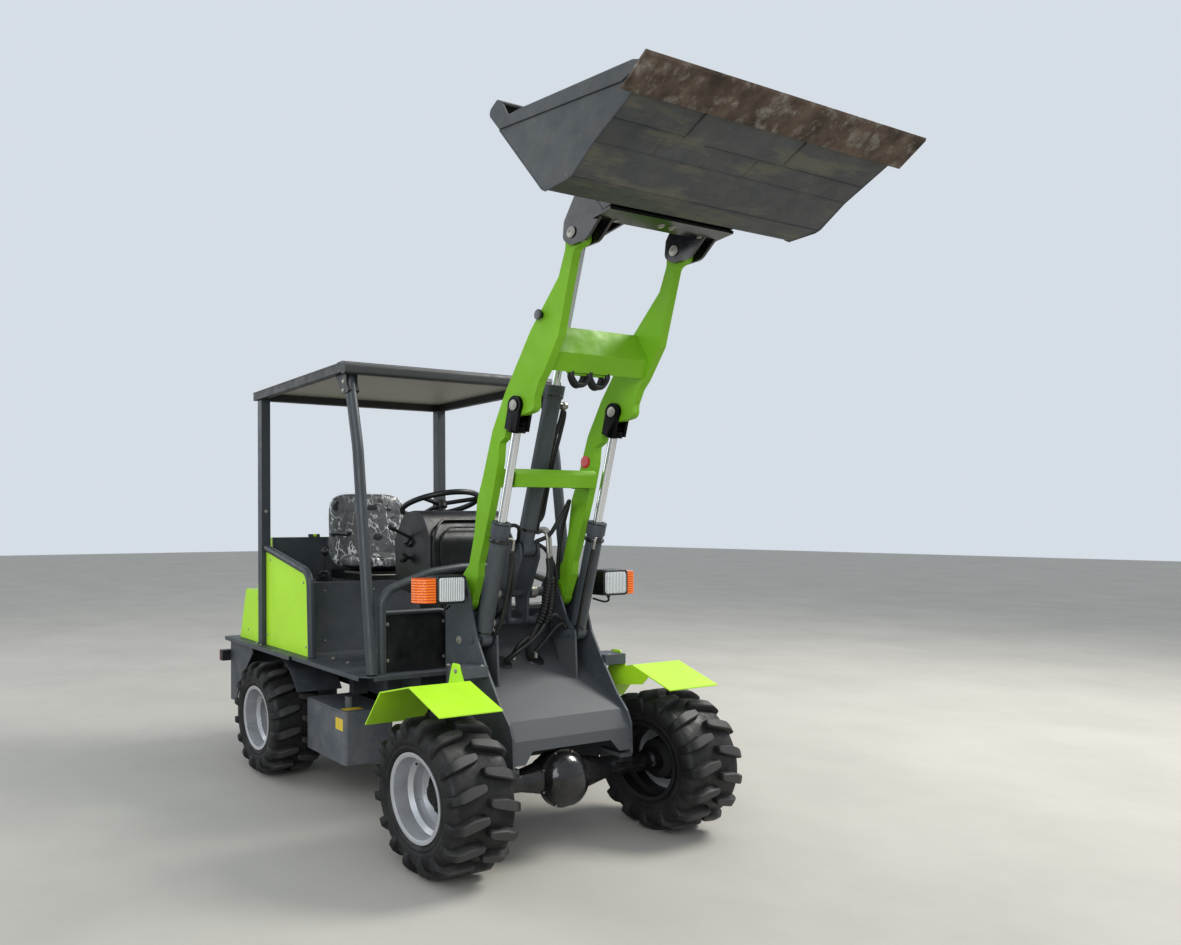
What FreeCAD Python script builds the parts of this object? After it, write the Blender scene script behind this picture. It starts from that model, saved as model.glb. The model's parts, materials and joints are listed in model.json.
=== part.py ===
import FreeCAD, Part
import math
import os
import re

# Compact articulated wheel loader with an open canopy, boom raised and bucket rolled back.
# Millimetres. +Z up, -Y to the front, +X to the machine's left.
# Stations (s) count backwards from the front axle; y(s) turns one into a Y coordinate.

os.makedirs("parts", exist_ok=True)
doc = FreeCAD.newDocument("wheel_loader")
V = FreeCAD.Vector

DIMS = dict(
    front_axle_y=-640, wheelbase=1698, axle_z=330, track_half=658,
    tyre_radius=330, lugs_a_side=16, plate_out=354, tower_in=342,
    arm_mid=288, arm_thick=40, boss_thick=60, ear_gap=50, ear_thick=14,
    pivot_pin=22, lift_pin=18, tip_pin=20, tilt_pin=18, pin_play=0.1,
    barrel_radius=38, gland_radius=44, rod_radius=20, bore_radius=27,
    tilt_barrel=40, tilt_bore=30, tilt_rod=19,
    deck_top=735, deck_half=740, sheet_thick=5,
    roof_half=710, roof_top=2308,
    post_radius=29, rear_post=60, rear_post_x=660,
    rail_radius=22, panel_x=662, panel_thick=4,
    bucket_half=670, edge_half=728, bucket_sheet=8, coupler_half=340,
    wheel_ring=212, ring_tube=15, guard_tube=22,
)
sheet = doc.addObject("Spreadsheet::Sheet", "Dims")
for line, (alias, size) in enumerate(DIMS.items(), 1):
    sheet.set("A%d" % line, alias)
    sheet.set("B%d" % line, str(size))
    sheet.setAlias("B%d" % line, alias)
doc.recompute()


class Sizes:
    """The sheet's driving sizes, read back by name."""

    def __getattr__(self, name):
        return float(sheet.get(name))


D = Sizes()
WORD = re.compile(r"[a-z_]+")
NODES = {}


def y(s):
    return s + D.front_axle_y


def formula(text):
    return WORD.sub(lambda m: "Dims." + m.group(0) if m.group(0) in DIMS else m.group(0), text)


def bind(obj, prop, value):
    """A number is set as it is; words of the sheet become a formula."""
    if isinstance(value, str):
        obj.setExpression(prop, formula(value))
    elif "." in prop:
        obj.setExpression(prop, repr(float(value)))
    else:
        setattr(obj, prop, value)


def node(name, *members):
    """Gives one piece its name; several solids of one piece go into a compound."""
    if len(members) == 1:
        piece = members[0]
    else:
        piece = doc.addObject("Part::Compound", "c_" + name)
        piece.Links = list(members)
    piece.Label = name
    NODES[name] = piece
    return piece


count = [0]


def tag(word):
    count[0] += 1
    return "%s_%03d" % (word, count[0])


def box(x, s, z):
    """Box between two values along X, station and Z."""
    obj = doc.addObject("Part::Box", tag("box"))
    for prop, (lo, hi) in (("Length", x), ("Width", s), ("Height", z)):
        both = isinstance(lo, str) or isinstance(hi, str)
        bind(obj, prop, "(%s) - (%s)" % (hi, lo) if both else hi - lo)
    bind(obj, "Placement.Base.x", x[0])
    bind(obj, "Placement.Base.y", "(%s) + front_axle_y" % s[0])
    bind(obj, "Placement.Base.z", z[0])
    return obj


TURN = {"x": FreeCAD.Rotation(V(0, 1, 0), 90), "z": FreeCAD.Rotation(),
        "y": FreeCAD.Rotation(V(1, 0, 0), -90)}


def rod(axis, at, radius, lo, hi):
    """Cylinder along an axis from lo to hi; at gives the two other coordinates, station for Y."""
    obj = doc.addObject("Part::Cylinder", tag("rod"))
    bind(obj, "Radius", radius)
    both = isinstance(lo, str) or isinstance(hi, str)
    bind(obj, "Height", "(%s) - (%s)" % (hi, lo) if both else hi - lo)
    obj.Placement = FreeCAD.Placement(V(), TURN[axis])
    a, b = at
    spots = {"x": (lo, "(%s) + front_axle_y" % a, b), "y": (a, "(%s) + front_axle_y" % lo, b),
             "z": (a, "(%s) + front_axle_y" % b, lo)}[axis]
    for name, spot in zip("xyz", spots):
        bind(obj, "Placement.Base." + name, spot)
    return obj


def ring_points(points):
    """Corners (u, v) or (u, v, r) to the lines and arcs of a closed outline."""
    out = []
    n = len(points)
    for i, p in enumerate(points):
        if len(p) == 2 or p[2] <= 0:
            out.append((V(p[0], p[1], 0),) * 2 + (None,))
            continue
        c = V(p[0], p[1], 0)
        a = V(points[i - 1][0], points[i - 1][1], 0) - c
        b = V(points[(i + 1) % n][0], points[(i + 1) % n][1], 0) - c
        a.normalize()
        b.normalize()
        half = a.getAngle(b) / 2
        back = p[2] / math.tan(half)
        mid = a + b
        mid.normalize()
        out.append((c + a * back, c + b * back, c + mid * (p[2] / math.sin(half) - p[2])))
    return out


def draw(sketch, points):
    corners = ring_points(points)
    for i, (_, start, _m) in enumerate(corners):
        enter, leave, mid = corners[(i + 1) % len(corners)]
        if (enter - start).Length > 1e-6:
            sketch.addGeometry(Part.LineSegment(start, enter), False)
        if mid is not None:
            sketch.addGeometry(Part.Arc(enter, mid, leave), False)


PLANE = {"YZ": "YZ_Plane", "XZ": "XZ_Plane", "XY": "XY_Plane"}


def prism(plane, points, lo, hi, holes=()):
    """Pad of an outline. YZ: (station, Z) along X; XZ: (X, Z) along Y; XY: (X, station) along Z."""
    body = doc.addObject("PartDesign::Body", tag("body"))
    sketch = body.newObject("Sketcher::SketchObject", tag("sketch"))
    origin = [f for f in body.Origin.OriginFeatures if f.Role == PLANE[plane]][0]
    sketch.AttachmentSupport = [(origin, "")]
    sketch.MapMode = "FlatFace"
    if plane == "YZ":
        shift = [(y(p[0]),) + tuple(p[1:]) for p in points]
        round_holes = [(y(c[0]), c[1], c[2]) for c in holes]
    elif plane == "XY":
        shift = [(p[0], y(p[1])) + tuple(p[2:]) for p in points]
        round_holes = [(c[0], y(c[1]), c[2]) for c in holes]
    else:
        shift, round_holes = points, holes
    draw(sketch, shift)
    for u, v, r in round_holes:
        sketch.addGeometry(Part.Circle(V(u, v, 0), V(0, 0, 1), r), False)
    if plane == "XZ":
        bind(sketch, "AttachmentOffset.Base.z", "-((%s) + front_axle_y)" % hi)
    else:
        bind(sketch, "AttachmentOffset.Base.z", lo)
    pad = body.newObject("PartDesign::Pad", tag("pad"))
    pad.Profile = sketch
    both = isinstance(lo, str) or isinstance(hi, str)
    bind(pad, "Length", "(%s) - (%s)" % (hi, lo) if both else hi - lo)
    sketch.Visibility = False
    return body


def lathe(points, about, axis="x"):
    """Turned piece: (along, radius) points about an axis through (station, Z) or (X, station)."""
    body = doc.addObject("PartDesign::Body", tag("body"))
    sketch = body.newObject("Sketcher::SketchObject", tag("sketch"))
    role = {"x": "XZ_Plane", "y": "YZ_Plane", "z": "XZ_Plane"}[axis]
    origin = [f for f in body.Origin.OriginFeatures if f.Role == role][0]
    sketch.AttachmentSupport = [(origin, "")]
    sketch.MapMode = "FlatFace"
    draw(sketch, [(p[1], p[0]) + tuple(p[2:]) if axis == "z" else p for p in points])
    turn = body.newObject("PartDesign::Revolution", tag("turn"))
    turn.Profile = sketch
    turn.ReferenceAxis = (sketch, ["V_Axis"] if axis == "z" else ["H_Axis"])
    turn.Angle = 360.0
    sketch.Visibility = False
    if axis == "x":
        spots = (0.0, "(%s) + front_axle_y" % about[0], about[1])
    elif axis == "y":
        spots = (about[0], 0.0, about[1])
    else:
        spots = (about[0], "(%s) + front_axle_y" % about[1], 0.0)
    for name, spot in zip("xyz", spots):
        bind(body, "Placement.Base." + name, spot)
    return body


def cut(base, *tools):
    for tool in tools:
        result = doc.addObject("Part::Cut", tag("cut"))
        result.Base = base
        result.Tool = tool
        base = result
    return base


def fuse(*members):
    result = doc.addObject("Part::MultiFuse", tag("fuse"))
    result.Shapes = list(members)
    result.Refine = False
    return result


def mirror(source):
    """The same piece on the machine's other side."""
    result = doc.addObject("Part::Mirroring", tag("mirror"))
    result.Source = source
    result.Normal = V(1, 0, 0)
    result.Base = V(0, 0, 0)
    return result


def both(source):
    return source, mirror(source)


def feature(shape, word="shape"):
    obj = doc.addObject("Part::Feature", tag(word))
    obj.Shape = shape
    return obj


def pipe(path, radius, bend):
    """Round tube along (X, station, Z) points, each corner bent round with tangent arcs."""
    pts = [V(p[0], y(p[1]), p[2]) for p in path]
    edges, last = [], pts[0]
    for i in range(1, len(pts) - 1):
        a, b = pts[i - 1] - pts[i], pts[i + 1] - pts[i]
        a.normalize()
        b.normalize()
        half = a.getAngle(b) / 2
        r = bend[i - 1] if isinstance(bend, (list, tuple)) else bend
        back = r / math.tan(half)
        mid = a + b
        mid.normalize()
        enter, leave = pts[i] + a * back, pts[i] + b * back
        middle = pts[i] + mid * (r / math.sin(half) - r)
        if (enter - last).Length > 1e-3:
            edges.append(Part.makeLine(last, enter))
        edges.append(Part.Arc(enter, middle, leave).toShape())
        last = leave
    edges.append(Part.makeLine(last, pts[-1]))
    spine = Part.Wire(edges)
    start = pts[1] - pts[0]
    ring = Part.Wire([Part.makeCircle(radius, pts[0], start)])
    return feature(spine.makePipeShell([ring], True, True), "pipe")


def between(a, b, radius, lo, hi, x=0.0):
    """Cylinder on the line from a to b, both (station, Z), between two distances from a."""
    start, aim = V(x, y(a[0]), a[1]), V(0, b[0] - a[0], b[1] - a[1])
    aim.normalize()
    return feature(Part.makeCylinder(radius, hi - lo, start + aim * lo, aim), "round")


# Side-view places, (station, Z)
BOOM_PIVOT = (330.0, 1140.0)
BOOM_TIP = (-432.0, 2651.0)
LIFT_TOP = (-72.0, 2000.0)
LIFT_BASE = (203.0, 945.0)
TILT_BASE = (252.0, 1362.0)
TILT_EYE = (-170.0, 2790.0)
HINGE_S = 530.0
WHEELS = {"front_right": (-1, 0.0), "front_left": (1, 0.0),
          "rear_right": (-1, D.wheelbase), "rear_left": (1, D.wheelbase)}


def distance(a, b):
    return math.hypot(b[0] - a[0], b[1] - a[1])


# Wheels

# A lug's foot seen from outside: (across the tread, along it), from the shoulder to the hooked end
LUG = [(169, -39), (169, 3), (80, 33), (4, 39), (4, 5)]
CARCASS = [(-134, 174.4), (-163, 238), (-148, 296), (148, 296), (163, 238), (134, 174.4)]
SHOULDER = [(-169, 230), (-169, 304), (-122, 332), (122, 332), (169, 304), (169, 230)]


def faceted(profile, sectors):
    """Closed ring of flat facets turned about X."""
    rings = []
    for i in range(sectors):
        a = 2 * math.pi * i / sectors
        rings.append([V(x, r * math.sin(a), r * math.cos(a)) for x, r in profile])
    faces = []
    for i in range(sectors):
        one, two = rings[i], rings[(i + 1) % sectors]
        for k in range(len(profile)):
            m = (k + 1) % len(profile)
            faces.append(Part.Face(Part.makePolygon([one[k], one[m], two[m], two[k], one[k]])))
    return Part.Solid(Part.Shell(faces))


def lug_solid(side, turn):
    """One tread bar, its shoulder end sloped and its inner end hooked."""
    base = [V(side * x, u, 276) for x, u in LUG]
    top = math.sqrt(D.tyre_radius ** 2 - LUG[3][1] ** 2)
    bar = Part.Face(Part.makePolygon(base + base[:1])).extrude(V(0, 0, top - 276))
    slope = Part.Face(Part.makePolygon([V(x, -90, z) for x, z in SHOULDER + SHOULDER[:1]]))
    bar = bar.common(slope.extrude(V(0, 180, 0)))
    bar.rotate(V(), V(1, 0, 0), turn)
    return bar


def tyre_shape(side):
    sectors = 2 * int(D.lugs_a_side)
    step = 360.0 / D.lugs_a_side
    bars = [lug_solid(side, i * step) for i in range(int(D.lugs_a_side))]
    bars += [lug_solid(-side, (i + 0.5) * step) for i in range(int(D.lugs_a_side))]
    return faceted(CARCASS, sectors).multiFuse(bars).removeSplitter()


RIM = [(-150, 188), (-141, 188), (-141, 173), (-96, 171), (-80, 150), (52, 150), (70, 170),
       (141, 173), (141, 188), (150, 188), (150, 180), (146, 168), (74, 164), (58, 144), (12, 144),
       (6, 98), (6, 56), (-6, 56), (-6, 102), (2, 144), (-76, 144), (-92, 165), (-146, 168),
       (-150, 180)]


def rim_shape(side):
    ring = Part.makePolygon([V(side * a, 0, b) for a, b in RIM + RIM[:1]])
    return Part.Face(ring).revolve(V(), V(1, 0, 0), 360)


def hub_profile(side):
    """Hub, drum and the wheel face's centre, outwards from the axle tube."""
    inner, face = 567, 650
    points = [(inner, 0), (inner, 52), (590, 52), (600, 92), (640, 92), (face - 1, 92),
              (face - 1, 58), (face + 14, 58), (face + 60, 48), (face + 66, 40), (face + 66, 0)]
    return [(side * a, b) for a, b in points]


# Front frame: tower, axle, fenders, lamps

TOWER = [(262, 1236), (228, 1163), (166, 954), (96, 824), (0, 671), (-60, 600), (-82, 545),
         (-85, 404), (96, 404), (150, 300), (405, 300), (405, 1200), (370, 1236, 20)]
tower_sides = both(prism("YZ", TOWER, "-plate_out", "-tower_in"))
NOSE = [(404, 905), (316, 826), (-35, 606), (-75, 527), (-82, 424), (-76, 424), (-69, 525),
        (-31, 600), (320, 820), (404, 896)]
nose = prism("YZ", NOSE, "-tower_in", "tower_in")
cutout = prism("XZ", [(-300, 400), (-238, 478), (222, 478), (296, 400)], -120, -40)
back = box(("-tower_in", "tower_in"), (397, 405), (300, 1050))
hinge_top = prism("XY", [(-130, 404), (130, 404), (62, 560, 40), (-62, 560, 40)], 596, 616,
                  [(0, HINGE_S, 25)])
hinge_low = prism("XY", [(-130, 404), (130, 404), (62, 560, 40), (-62, 560, 40)], 330, 350,
                  [(0, HINGE_S, 25)])
hinge_web = both(prism("YZ", [(404, 350), (470, 350), (430, 596), (404, 596)], 96, 106))
shaft = rod("x", BOOM_PIVOT, "pivot_pin", "-plate_out - 8", "plate_out + 8")
lower_shaft = rod("x", (330, 1000), 20, "-tower_in", "tower_in")
ANCHOR = [(366, 978, 34), (386, 1170), (300, 1398, 44), (210, 1398, 44), (206, 1320, 40),
          (286, 1120), (294, 978, 34)]
anchor = both(prism("YZ", ANCHOR, 48, 62, [(TILT_BASE[0], TILT_BASE[1], D.tilt_pin + D.pin_play)]))
EARS = [(150, 700), (250, 760), (392, 1090), (396, 1196, 50), (300, 1214, 50), (214, 1010, 60),
        (160, 960, 30)]
lift_ears = both(prism("YZ", EARS, 232, 244, [(LIFT_BASE[0], LIFT_BASE[1], D.lift_pin)]))
lift_base_pins = both(rod("x", LIFT_BASE, "lift_pin", 222, "plate_out + 6"))
saddles = both(box((300, 372), (-62, 62), (384, 404)))
hinge_pin = fuse(rod("z", (0, HINGE_S), 25, 300, 640), rod("z", (0, HINGE_S), 40, 616, 628),
                 rod("z", (0, HINGE_S), 40, 312, 330))
node("front_frame", fuse(*tower_sides, cut(nose, cutout), back, hinge_top, hinge_low,
                         *hinge_web, shaft, lower_shaft, *anchor, *lift_ears,
                         *lift_base_pins, hinge_pin, *saddles))
node("tilt_base_pin", rod("x", TILT_BASE, "tilt_pin", -70, 70))

FENDER = [(405, 553), (272, 722), (40, 784), (-183, 699), (-183, 705), (40, 790), (276, 728),
          (409, 556)]
fender = prism("YZ", FENDER, -806, -485)
fender_web = prism("YZ", [(270, 724), (40, 786), (-60, 748), (-20, 704), (220, 664), (290, 694)],
                   -490, -485)
fender_ear = prism("YZ", [(80, 775), (200, 743), (165, 852, 14), (115, 852, 14)], -490, -485)
bracket = box((-485, -354), (80, 200), (790, 840))
node("front_fenders", *both(fuse(fender, fender_web, fender_ear)))
bracket = cut(bracket, box((-479, -360), (86, 194), (784, 834)))


SHELL_LAMP = [(-579, 1120, 14), (-418, 1120, 14), (-418, 1248, 14), (-579, 1248, 14)]
node("headlamp_housings", *both(prism("XZ", SHELL_LAMP, 164, 242)))
LENS = [(-573, 1127, 14), (-424, 1127, 14), (-424, 1241, 14), (-573, 1241, 14)]
node("headlamp_lenses", *both(prism("XZ", LENS, 152, 164)))
TURN_LAMP = [(-664, 196), (-664, 236), (-579.5, 236), (-579.5, 156), (-626, 158, 34)]
node("turn_lamps", *both(prism("XY", TURN_LAMP, 1124, 1238)))
arm_plate = box((-530, -354), (242, 254), (1140, 1220))
foot_plate = box((-366, -354), (242, 296), (1140, 1220))
node("front_brackets", *both(bracket), *both(fuse(arm_plate, foot_plate)))

AXLE_BALL = [(-140, 0), (-137, 44), (-122, 84), (-98, 110), (-66, 121), (-52, 121), (-52, 132),
             (-34, 132), (-34, 118), (40, 104), (70, 70), (110, 52), (110, 0)]


def axle(station, face):
    """Live axle: pot with a domed cover, tapered tubes, brake drums and hubs."""
    pot = [((a if face < 0 else -a), b) for a, b in AXLE_BALL]
    ball = lathe([(y(station) + a, b) for a, b in pot], (-40, "axle_z"), "y")
    tube = lathe([(-566, 0), (-566, 56), (-540, 56), (-520, 44), (-250, 48), (-120, 74),
                  (-40, 96), (40, 96), (120, 74), (250, 48), (520, 44), (540, 56), (566, 56),
                  (566, 0)], (station, "axle_z"))
    pads = both(box((296, 376), (station - 58, station + 58), (360, 384)))
    return fuse(ball, tube, *pads)


node("front_axle", axle(0, -1))
node("rear_axle", axle(D.wheelbase, 1))
for place, (side, station) in WHEELS.items():
    seat = FreeCAD.Placement(V(side * D.track_half, y(station), D.axle_z), FreeCAD.Rotation())
    tyre = feature(tyre_shape(side), "tyre")
    tread = FreeCAD.Rotation(V(1, 0, 0), math.degrees(math.asin(LUG[3][1] / D.tyre_radius)))
    tyre.Placement = FreeCAD.Placement(seat.Base, tread)
    node("tyre_" + place, tyre)
    rim = feature(rim_shape(side), "rim")
    rim.Placement = seat
    hub = lathe([(side * 567, 0)] + hub_profile(side)[1:], (station, "axle_z"))
    node("rim_" + place, fuse(rim, hub))

# Boom, cylinders

ARM = [(400, 1066, 66), (408, 1150, 50), (278, 1290), (238, 1430), (212, 1597), (171, 1696),
       (99, 1904), (9, 2067), (-162, 2311), (-335, 2498), (-374, 2600, 30), (-382, 2696, 42),
       (-482, 2696, 42), (-480, 2600, 24), (-422, 2588, 30), (-332, 2259), (-246, 2124),
       (-212, 2086), (-182, 2022, 20), (-180, 1966, 30), (-110, 1955, 20), (-30, 1954, 14),
       (-4, 1925), (14, 1866), (50, 1846),
       (60, 1760), (104, 1600), (132, 1510), (168, 1400), (206, 1296), (214, 1230), (256, 1120),
       (256, 1066, 60), (330, 1064, 20)]
arm_holes = [(BOOM_PIVOT[0], BOOM_PIVOT[1], D.pivot_pin + D.pin_play),
             (LIFT_TOP[0], LIFT_TOP[1], D.lift_pin + D.pin_play),
             (BOOM_TIP[0], BOOM_TIP[1], D.tip_pin + D.pin_play)]
arm = prism("YZ", ARM, "arm_mid - arm_thick/2", "arm_mid + arm_thick/2", arm_holes)


def boss(place, radius, hole, lo, hi):
    ring = rod("x", place, radius, lo, hi)
    return cut(ring, rod("x", place, hole, "(%s) - 1" % lo, "(%s) + 1" % hi))


pivot_boss = boss(BOOM_PIVOT, 62, "pivot_pin + pin_play", "arm_mid - boss_thick/2",
                  "arm_mid + boss_thick/2")
UPPER = [(-207, 2332), (-273, 2206), (-241, 2131), (-232, 2135), (-263, 2206), (-199, 2328)]
ARM_FACE = "arm_mid - arm_thick/2"
upper = prism("YZ", UPPER, "-(%s)" % ARM_FACE, ARM_FACE)
LOWER = [(22, 1648), (12, 1706), (32, 1730), (38, 1730), (70, 1648)]
lower = prism("YZ", LOWER, "-(%s)" % ARM_FACE, ARM_FACE)
lower_void = prism("YZ", [(30, 1656), (21, 1704), (34, 1721), (59, 1656)], "-(%s)" % ARM_FACE,
                   ARM_FACE)
LOWER_END = [(60, 1648), (32, 1730), (130, 1730), (130, 1648)]
lower_ends = both(prism("YZ", LOWER_END, 190, ARM_FACE))
sweep = both(prism("YZ", [(-10, 1600), (104, 1600), (60, 1760), (-10, 1760)],
                   "arm_mid - barrel_radius - 7", ARM_FACE))
lower_beam = cut(fuse(lower, *lower_ends), lower_void, *sweep)
node("boom", fuse(*both(arm), *both(pivot_boss), upper, lower_beam))

lift_pins = both(rod("x", LIFT_TOP, "lift_pin", "arm_mid - arm_thick/2 - 1",
                     "arm_mid + arm_thick/2 + 1"))
node("lift_pins", *lift_pins)
span = distance(LIFT_BASE, LIFT_TOP)


def cylinder(base, top, x, eye, radius, gland, bore, length, pin):
    """Barrel with its base eye, a gland at the mouth and a bore for the rod."""
    solid = fuse(rod("x", base, eye, x - 26, x + 26), between(base, top, radius, 20, length, x),
                 between(base, top, gland, length - 62, length, x))
    return cut(solid, between(base, top, bore, 60, length + 1, x),
               rod("x", base, pin + D.pin_play, x - 60, x + 60))


LIFT_BARREL = 560.0
lift_barrel = cylinder(LIFT_BASE, LIFT_TOP, D.arm_mid, 38, D.barrel_radius, D.gland_radius,
                       D.bore_radius, LIFT_BARREL, D.lift_pin)
node("lift_barrels", *both(lift_barrel))
fork_out = D.arm_thick / 2 + 3
fork = []
for lo, hi in ((-fork_out - 16, -fork_out), (fork_out, fork_out + 16)):
    fork.append(rod("x", LIFT_TOP, 42, D.arm_mid + lo, D.arm_mid + hi))
    fork.append(rod("x", LIFT_TOP, "lift_pin", D.arm_mid + lo - 4 * (lo < 0),
                    D.arm_mid + hi + 4 * (lo > 0)))
    slab = Part.makeBox(hi - lo, 76, 110, V(D.arm_mid + lo, -38, -110))
    tilt = math.degrees(math.atan2(LIFT_BASE[0] - LIFT_TOP[0], LIFT_TOP[1] - LIFT_BASE[1]))
    slab.Placement = FreeCAD.Placement(V(0, y(LIFT_TOP[0]), LIFT_TOP[1]),
                                       FreeCAD.Rotation(V(1, 0, 0), tilt))
    fork.append(feature(slab, "slab"))
fork.append(between(LIFT_TOP, LIFT_BASE, 40, 89, 118, D.arm_mid))
lift_rod = fuse(*fork, between(LIFT_TOP, LIFT_BASE, D.rod_radius, 100, span - 440, D.arm_mid))
node("lift_rods", *both(lift_rod))

TILT_LENGTH = 794.0
tilt_barrel = fuse(rod("x", TILT_BASE, 44, -36, 36),
                   between(TILT_BASE, TILT_EYE, D.tilt_barrel, 20, TILT_LENGTH),
                   between(TILT_BASE, TILT_EYE, 46, TILT_LENGTH - 60, TILT_LENGTH))
node("tilt_barrel", cut(tilt_barrel, between(TILT_BASE, TILT_EYE, D.tilt_bore, 60, TILT_LENGTH + 1),
                        rod("x", TILT_BASE, "tilt_pin + pin_play", -60, 60)))
reach = distance(TILT_BASE, TILT_EYE)
tilt_rod = fuse(rod("x", TILT_EYE, 38, -26, 26), between(TILT_EYE, TILT_BASE, D.tilt_rod, 30, 1060),
                rod("x", TILT_EYE, "tilt_pin", -27, 27))
node("tilt_rod", tilt_rod)

# Bucket

t = D.bucket_sheet
SHELL = [(-1090, 2868), (-901, 2765), (-792, 2686, 40), (-660, 2679, 50), (-412, 3005, 40),
         (-340, 3098, 24), (-400, 3130, 16), (-430, 3106), (-425, 3100), (-401, 3117, 10),
         (-356, 3095, 16), (-419, 3010, 32), (-664, 2687, 42), (-790, 2694, 32), (-897, 2772),
         (-1086, 2875)]
shell = prism("YZ", SHELL, "-bucket_half", "bucket_half")
SIDE = [(-1088, 2867), (-901, 2765), (-792, 2686, 40), (-660, 2679, 50), (-412, 3005, 40),
        (-340, 3098, 24), (-400, 3130, 16), (-428, 3103), (-463, 3038), (-535, 3033),
        (-1078, 2956), (-1140, 2930), (-1145, 2912), (-1092, 2875)]
sides = both(prism("YZ", SIDE, "-bucket_half", "-bucket_half + bucket_sheet"))
RIMBAND = [(-418, 3004), (-463, 3038), (-535, 3033), (-1078, 2956), (-1124, 2934),
           (-1031, 2908)]
bands = both(prism("YZ", RIMBAND, "-bucket_half - 8", "-bucket_half"))
EDGE = [(-1176, 2930), (-1172, 2919), (-1077, 2848.6), (-1071, 2857.2), (-1091, 2868.1),
        (-1093, 2872)]
edge = prism("YZ", EDGE, "-edge_half", "edge_half")
node("bucket", fuse(shell, *sides, *bands))
node("cutting_edge", edge)

PLATE = [(-600, 2676), (-392, 2946), (-404, 2954), (-612, 2684)]
plate = prism("YZ", PLATE, "-coupler_half", "coupler_half")
GUSSET = [(-658, 2692), (-604, 2680), (-396, 2950), (-418, 3006)]
gussets = []
for x in (110, 326):
    gussets += both(prism("YZ", GUSSET, x, x + 12))
sole = prism("YZ", [(-650, 2672), (-560, 2664), (-556, 2676), (-650, 2684)],
             "-coupler_half", "coupler_half")
EAR = [(-604, 2687), (-510, 2600, 50), (-424, 2600, 40), (-380, 2634, 34), (-388, 2706, 30),
       (-446, 2790), (-500, 2812)]
ears = []
for lo in ("arm_mid - ear_gap/2 - ear_thick", "arm_mid + ear_gap/2"):
    ears += both(prism("YZ", EAR, lo, "%s + ear_thick" % lo,
                       [(BOOM_TIP[0], BOOM_TIP[1], D.tip_pin + D.pin_play)]))
TILTEAR = [(-520, 2786), (-396, 2946), (-140, 2836, 44), (-122, 2744, 44), (-214, 2742, 30)]
tilt_ears = both(prism("YZ", TILTEAR, 30, 44, [(TILT_EYE[0], TILT_EYE[1], D.tilt_pin)]))
tilt_stubs = both(rod("x", TILT_EYE, "tilt_pin", 29, 52))
coupler = fuse(plate, *gussets, sole, *ears, *tilt_ears, *tilt_stubs)
node("coupler", cut(coupler, prism("YZ", SHELL, "-bucket_half", "bucket_half")))
node("bucket_pins", *both(rod("x", BOOM_TIP, "tip_pin", "arm_mid - 43", "arm_mid + 43")))

# Rear frame

TAIL = D.wheelbase + 676
rails = both(box((230, 290), (720, TAIL - 10), (520, 700)))
crosses = [box((-232, 232), (s, s + 60), (540, 700)) for s in (720, 1250, TAIL - 74)]
head = [prism("XY", [(-250, 730), (-62, 500, 40), (62, 500, 40), (250, 730)], z, z + 20,
              [(0, HINGE_S, 25.1)]) for z in (574, 352)]
drop = both(prism("YZ", [(650, 352), (650, 594), (780, 594), (780, 352)], 180, 192))
rear_saddles = both(box((300, 372), (D.wheelbase - 58, D.wheelbase + 58), (384, 404)))
legs = both(box((288, 372), (D.wheelbase - 58, D.wheelbase + 58), (402, 700)))
CORNER = [(TAIL, 730), (TAIL, 312), (TAIL - 90, 316), (TAIL - 181, 476), (TAIL - 374, 665),
          (TAIL - 374, 730)]
corners = both(prism("YZ", CORNER, 692, 700))
tail = box((-700, 700), (TAIL - 12, TAIL), (400, 730))
TANK_LO, TANK_HI = 0.5212 * D.wheelbase, D.wheelbase - 359
TANK = [(-650, TANK_LO, 24), (-350, TANK_LO, 24), (-350, TANK_HI, 24), (-650, TANK_HI, 24)]
tank = fuse(prism("XY", TANK, 223, 505), rod("z", (-560, TANK_LO + 115), 22, 505, 560))
node("battery_box", tank)
node("hydraulic_tank", mirror(tank))
hangers = [box((x, x + 94), (s, s + 50), (505, 730)) for x in (-380, 286)
           for s in (TANK_LO + 15, TANK_HI - 69)]

node("rear_frame", fuse(*rails, *crosses, *head, *drop, *rear_saddles, *legs, *corners, tail,
                        *hangers))

floor = prism("XY", [(-722, 1380), (-722, 620), (-680, 578), (680, 578), (722, 620), (722, 1380)],
              "deck_top - sheet_thick", "deck_top")
floor_lip = fuse(box((-722, -716), (620, 1380), (712, 731)),
                 box((716, 722), (620, 1380), (712, 731)),
                 box((-656, 656), (578, 584), (712, 731)))
rear_deck = box(("-deck_half", "deck_half"), (1380, TAIL + 6),
                ("deck_top - sheet_thick", "deck_top"))
rear_lips = both(box(("-deck_half", "-deck_half + 6"), (1380, TAIL + 6), (710, 731)))
joists = [box((-690, 690), (s, s + 40), (700, 730))
          for s in (800, 1200, D.wheelbase - 198, D.wheelbase + 292, D.wheelbase + 502)]
node("deck", fuse(floor, floor_lip, rear_deck, *rear_lips, *joists))

arcs = []
for r0 in (378, 383):
    arcs.append([(D.wheelbase - r0 * math.cos(math.radians(a)),
                  D.axle_z + r0 * math.sin(math.radians(a))) for a in (31, 42, 54, 66, 78, 90)])
guard = prism("YZ", arcs[0] + arcs[1][::-1], -690, -400)
hanger = box((-640, -440), (1670, 1678), (709, 730))
node("rear_mudguards", *both(fuse(guard, hanger)))

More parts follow.
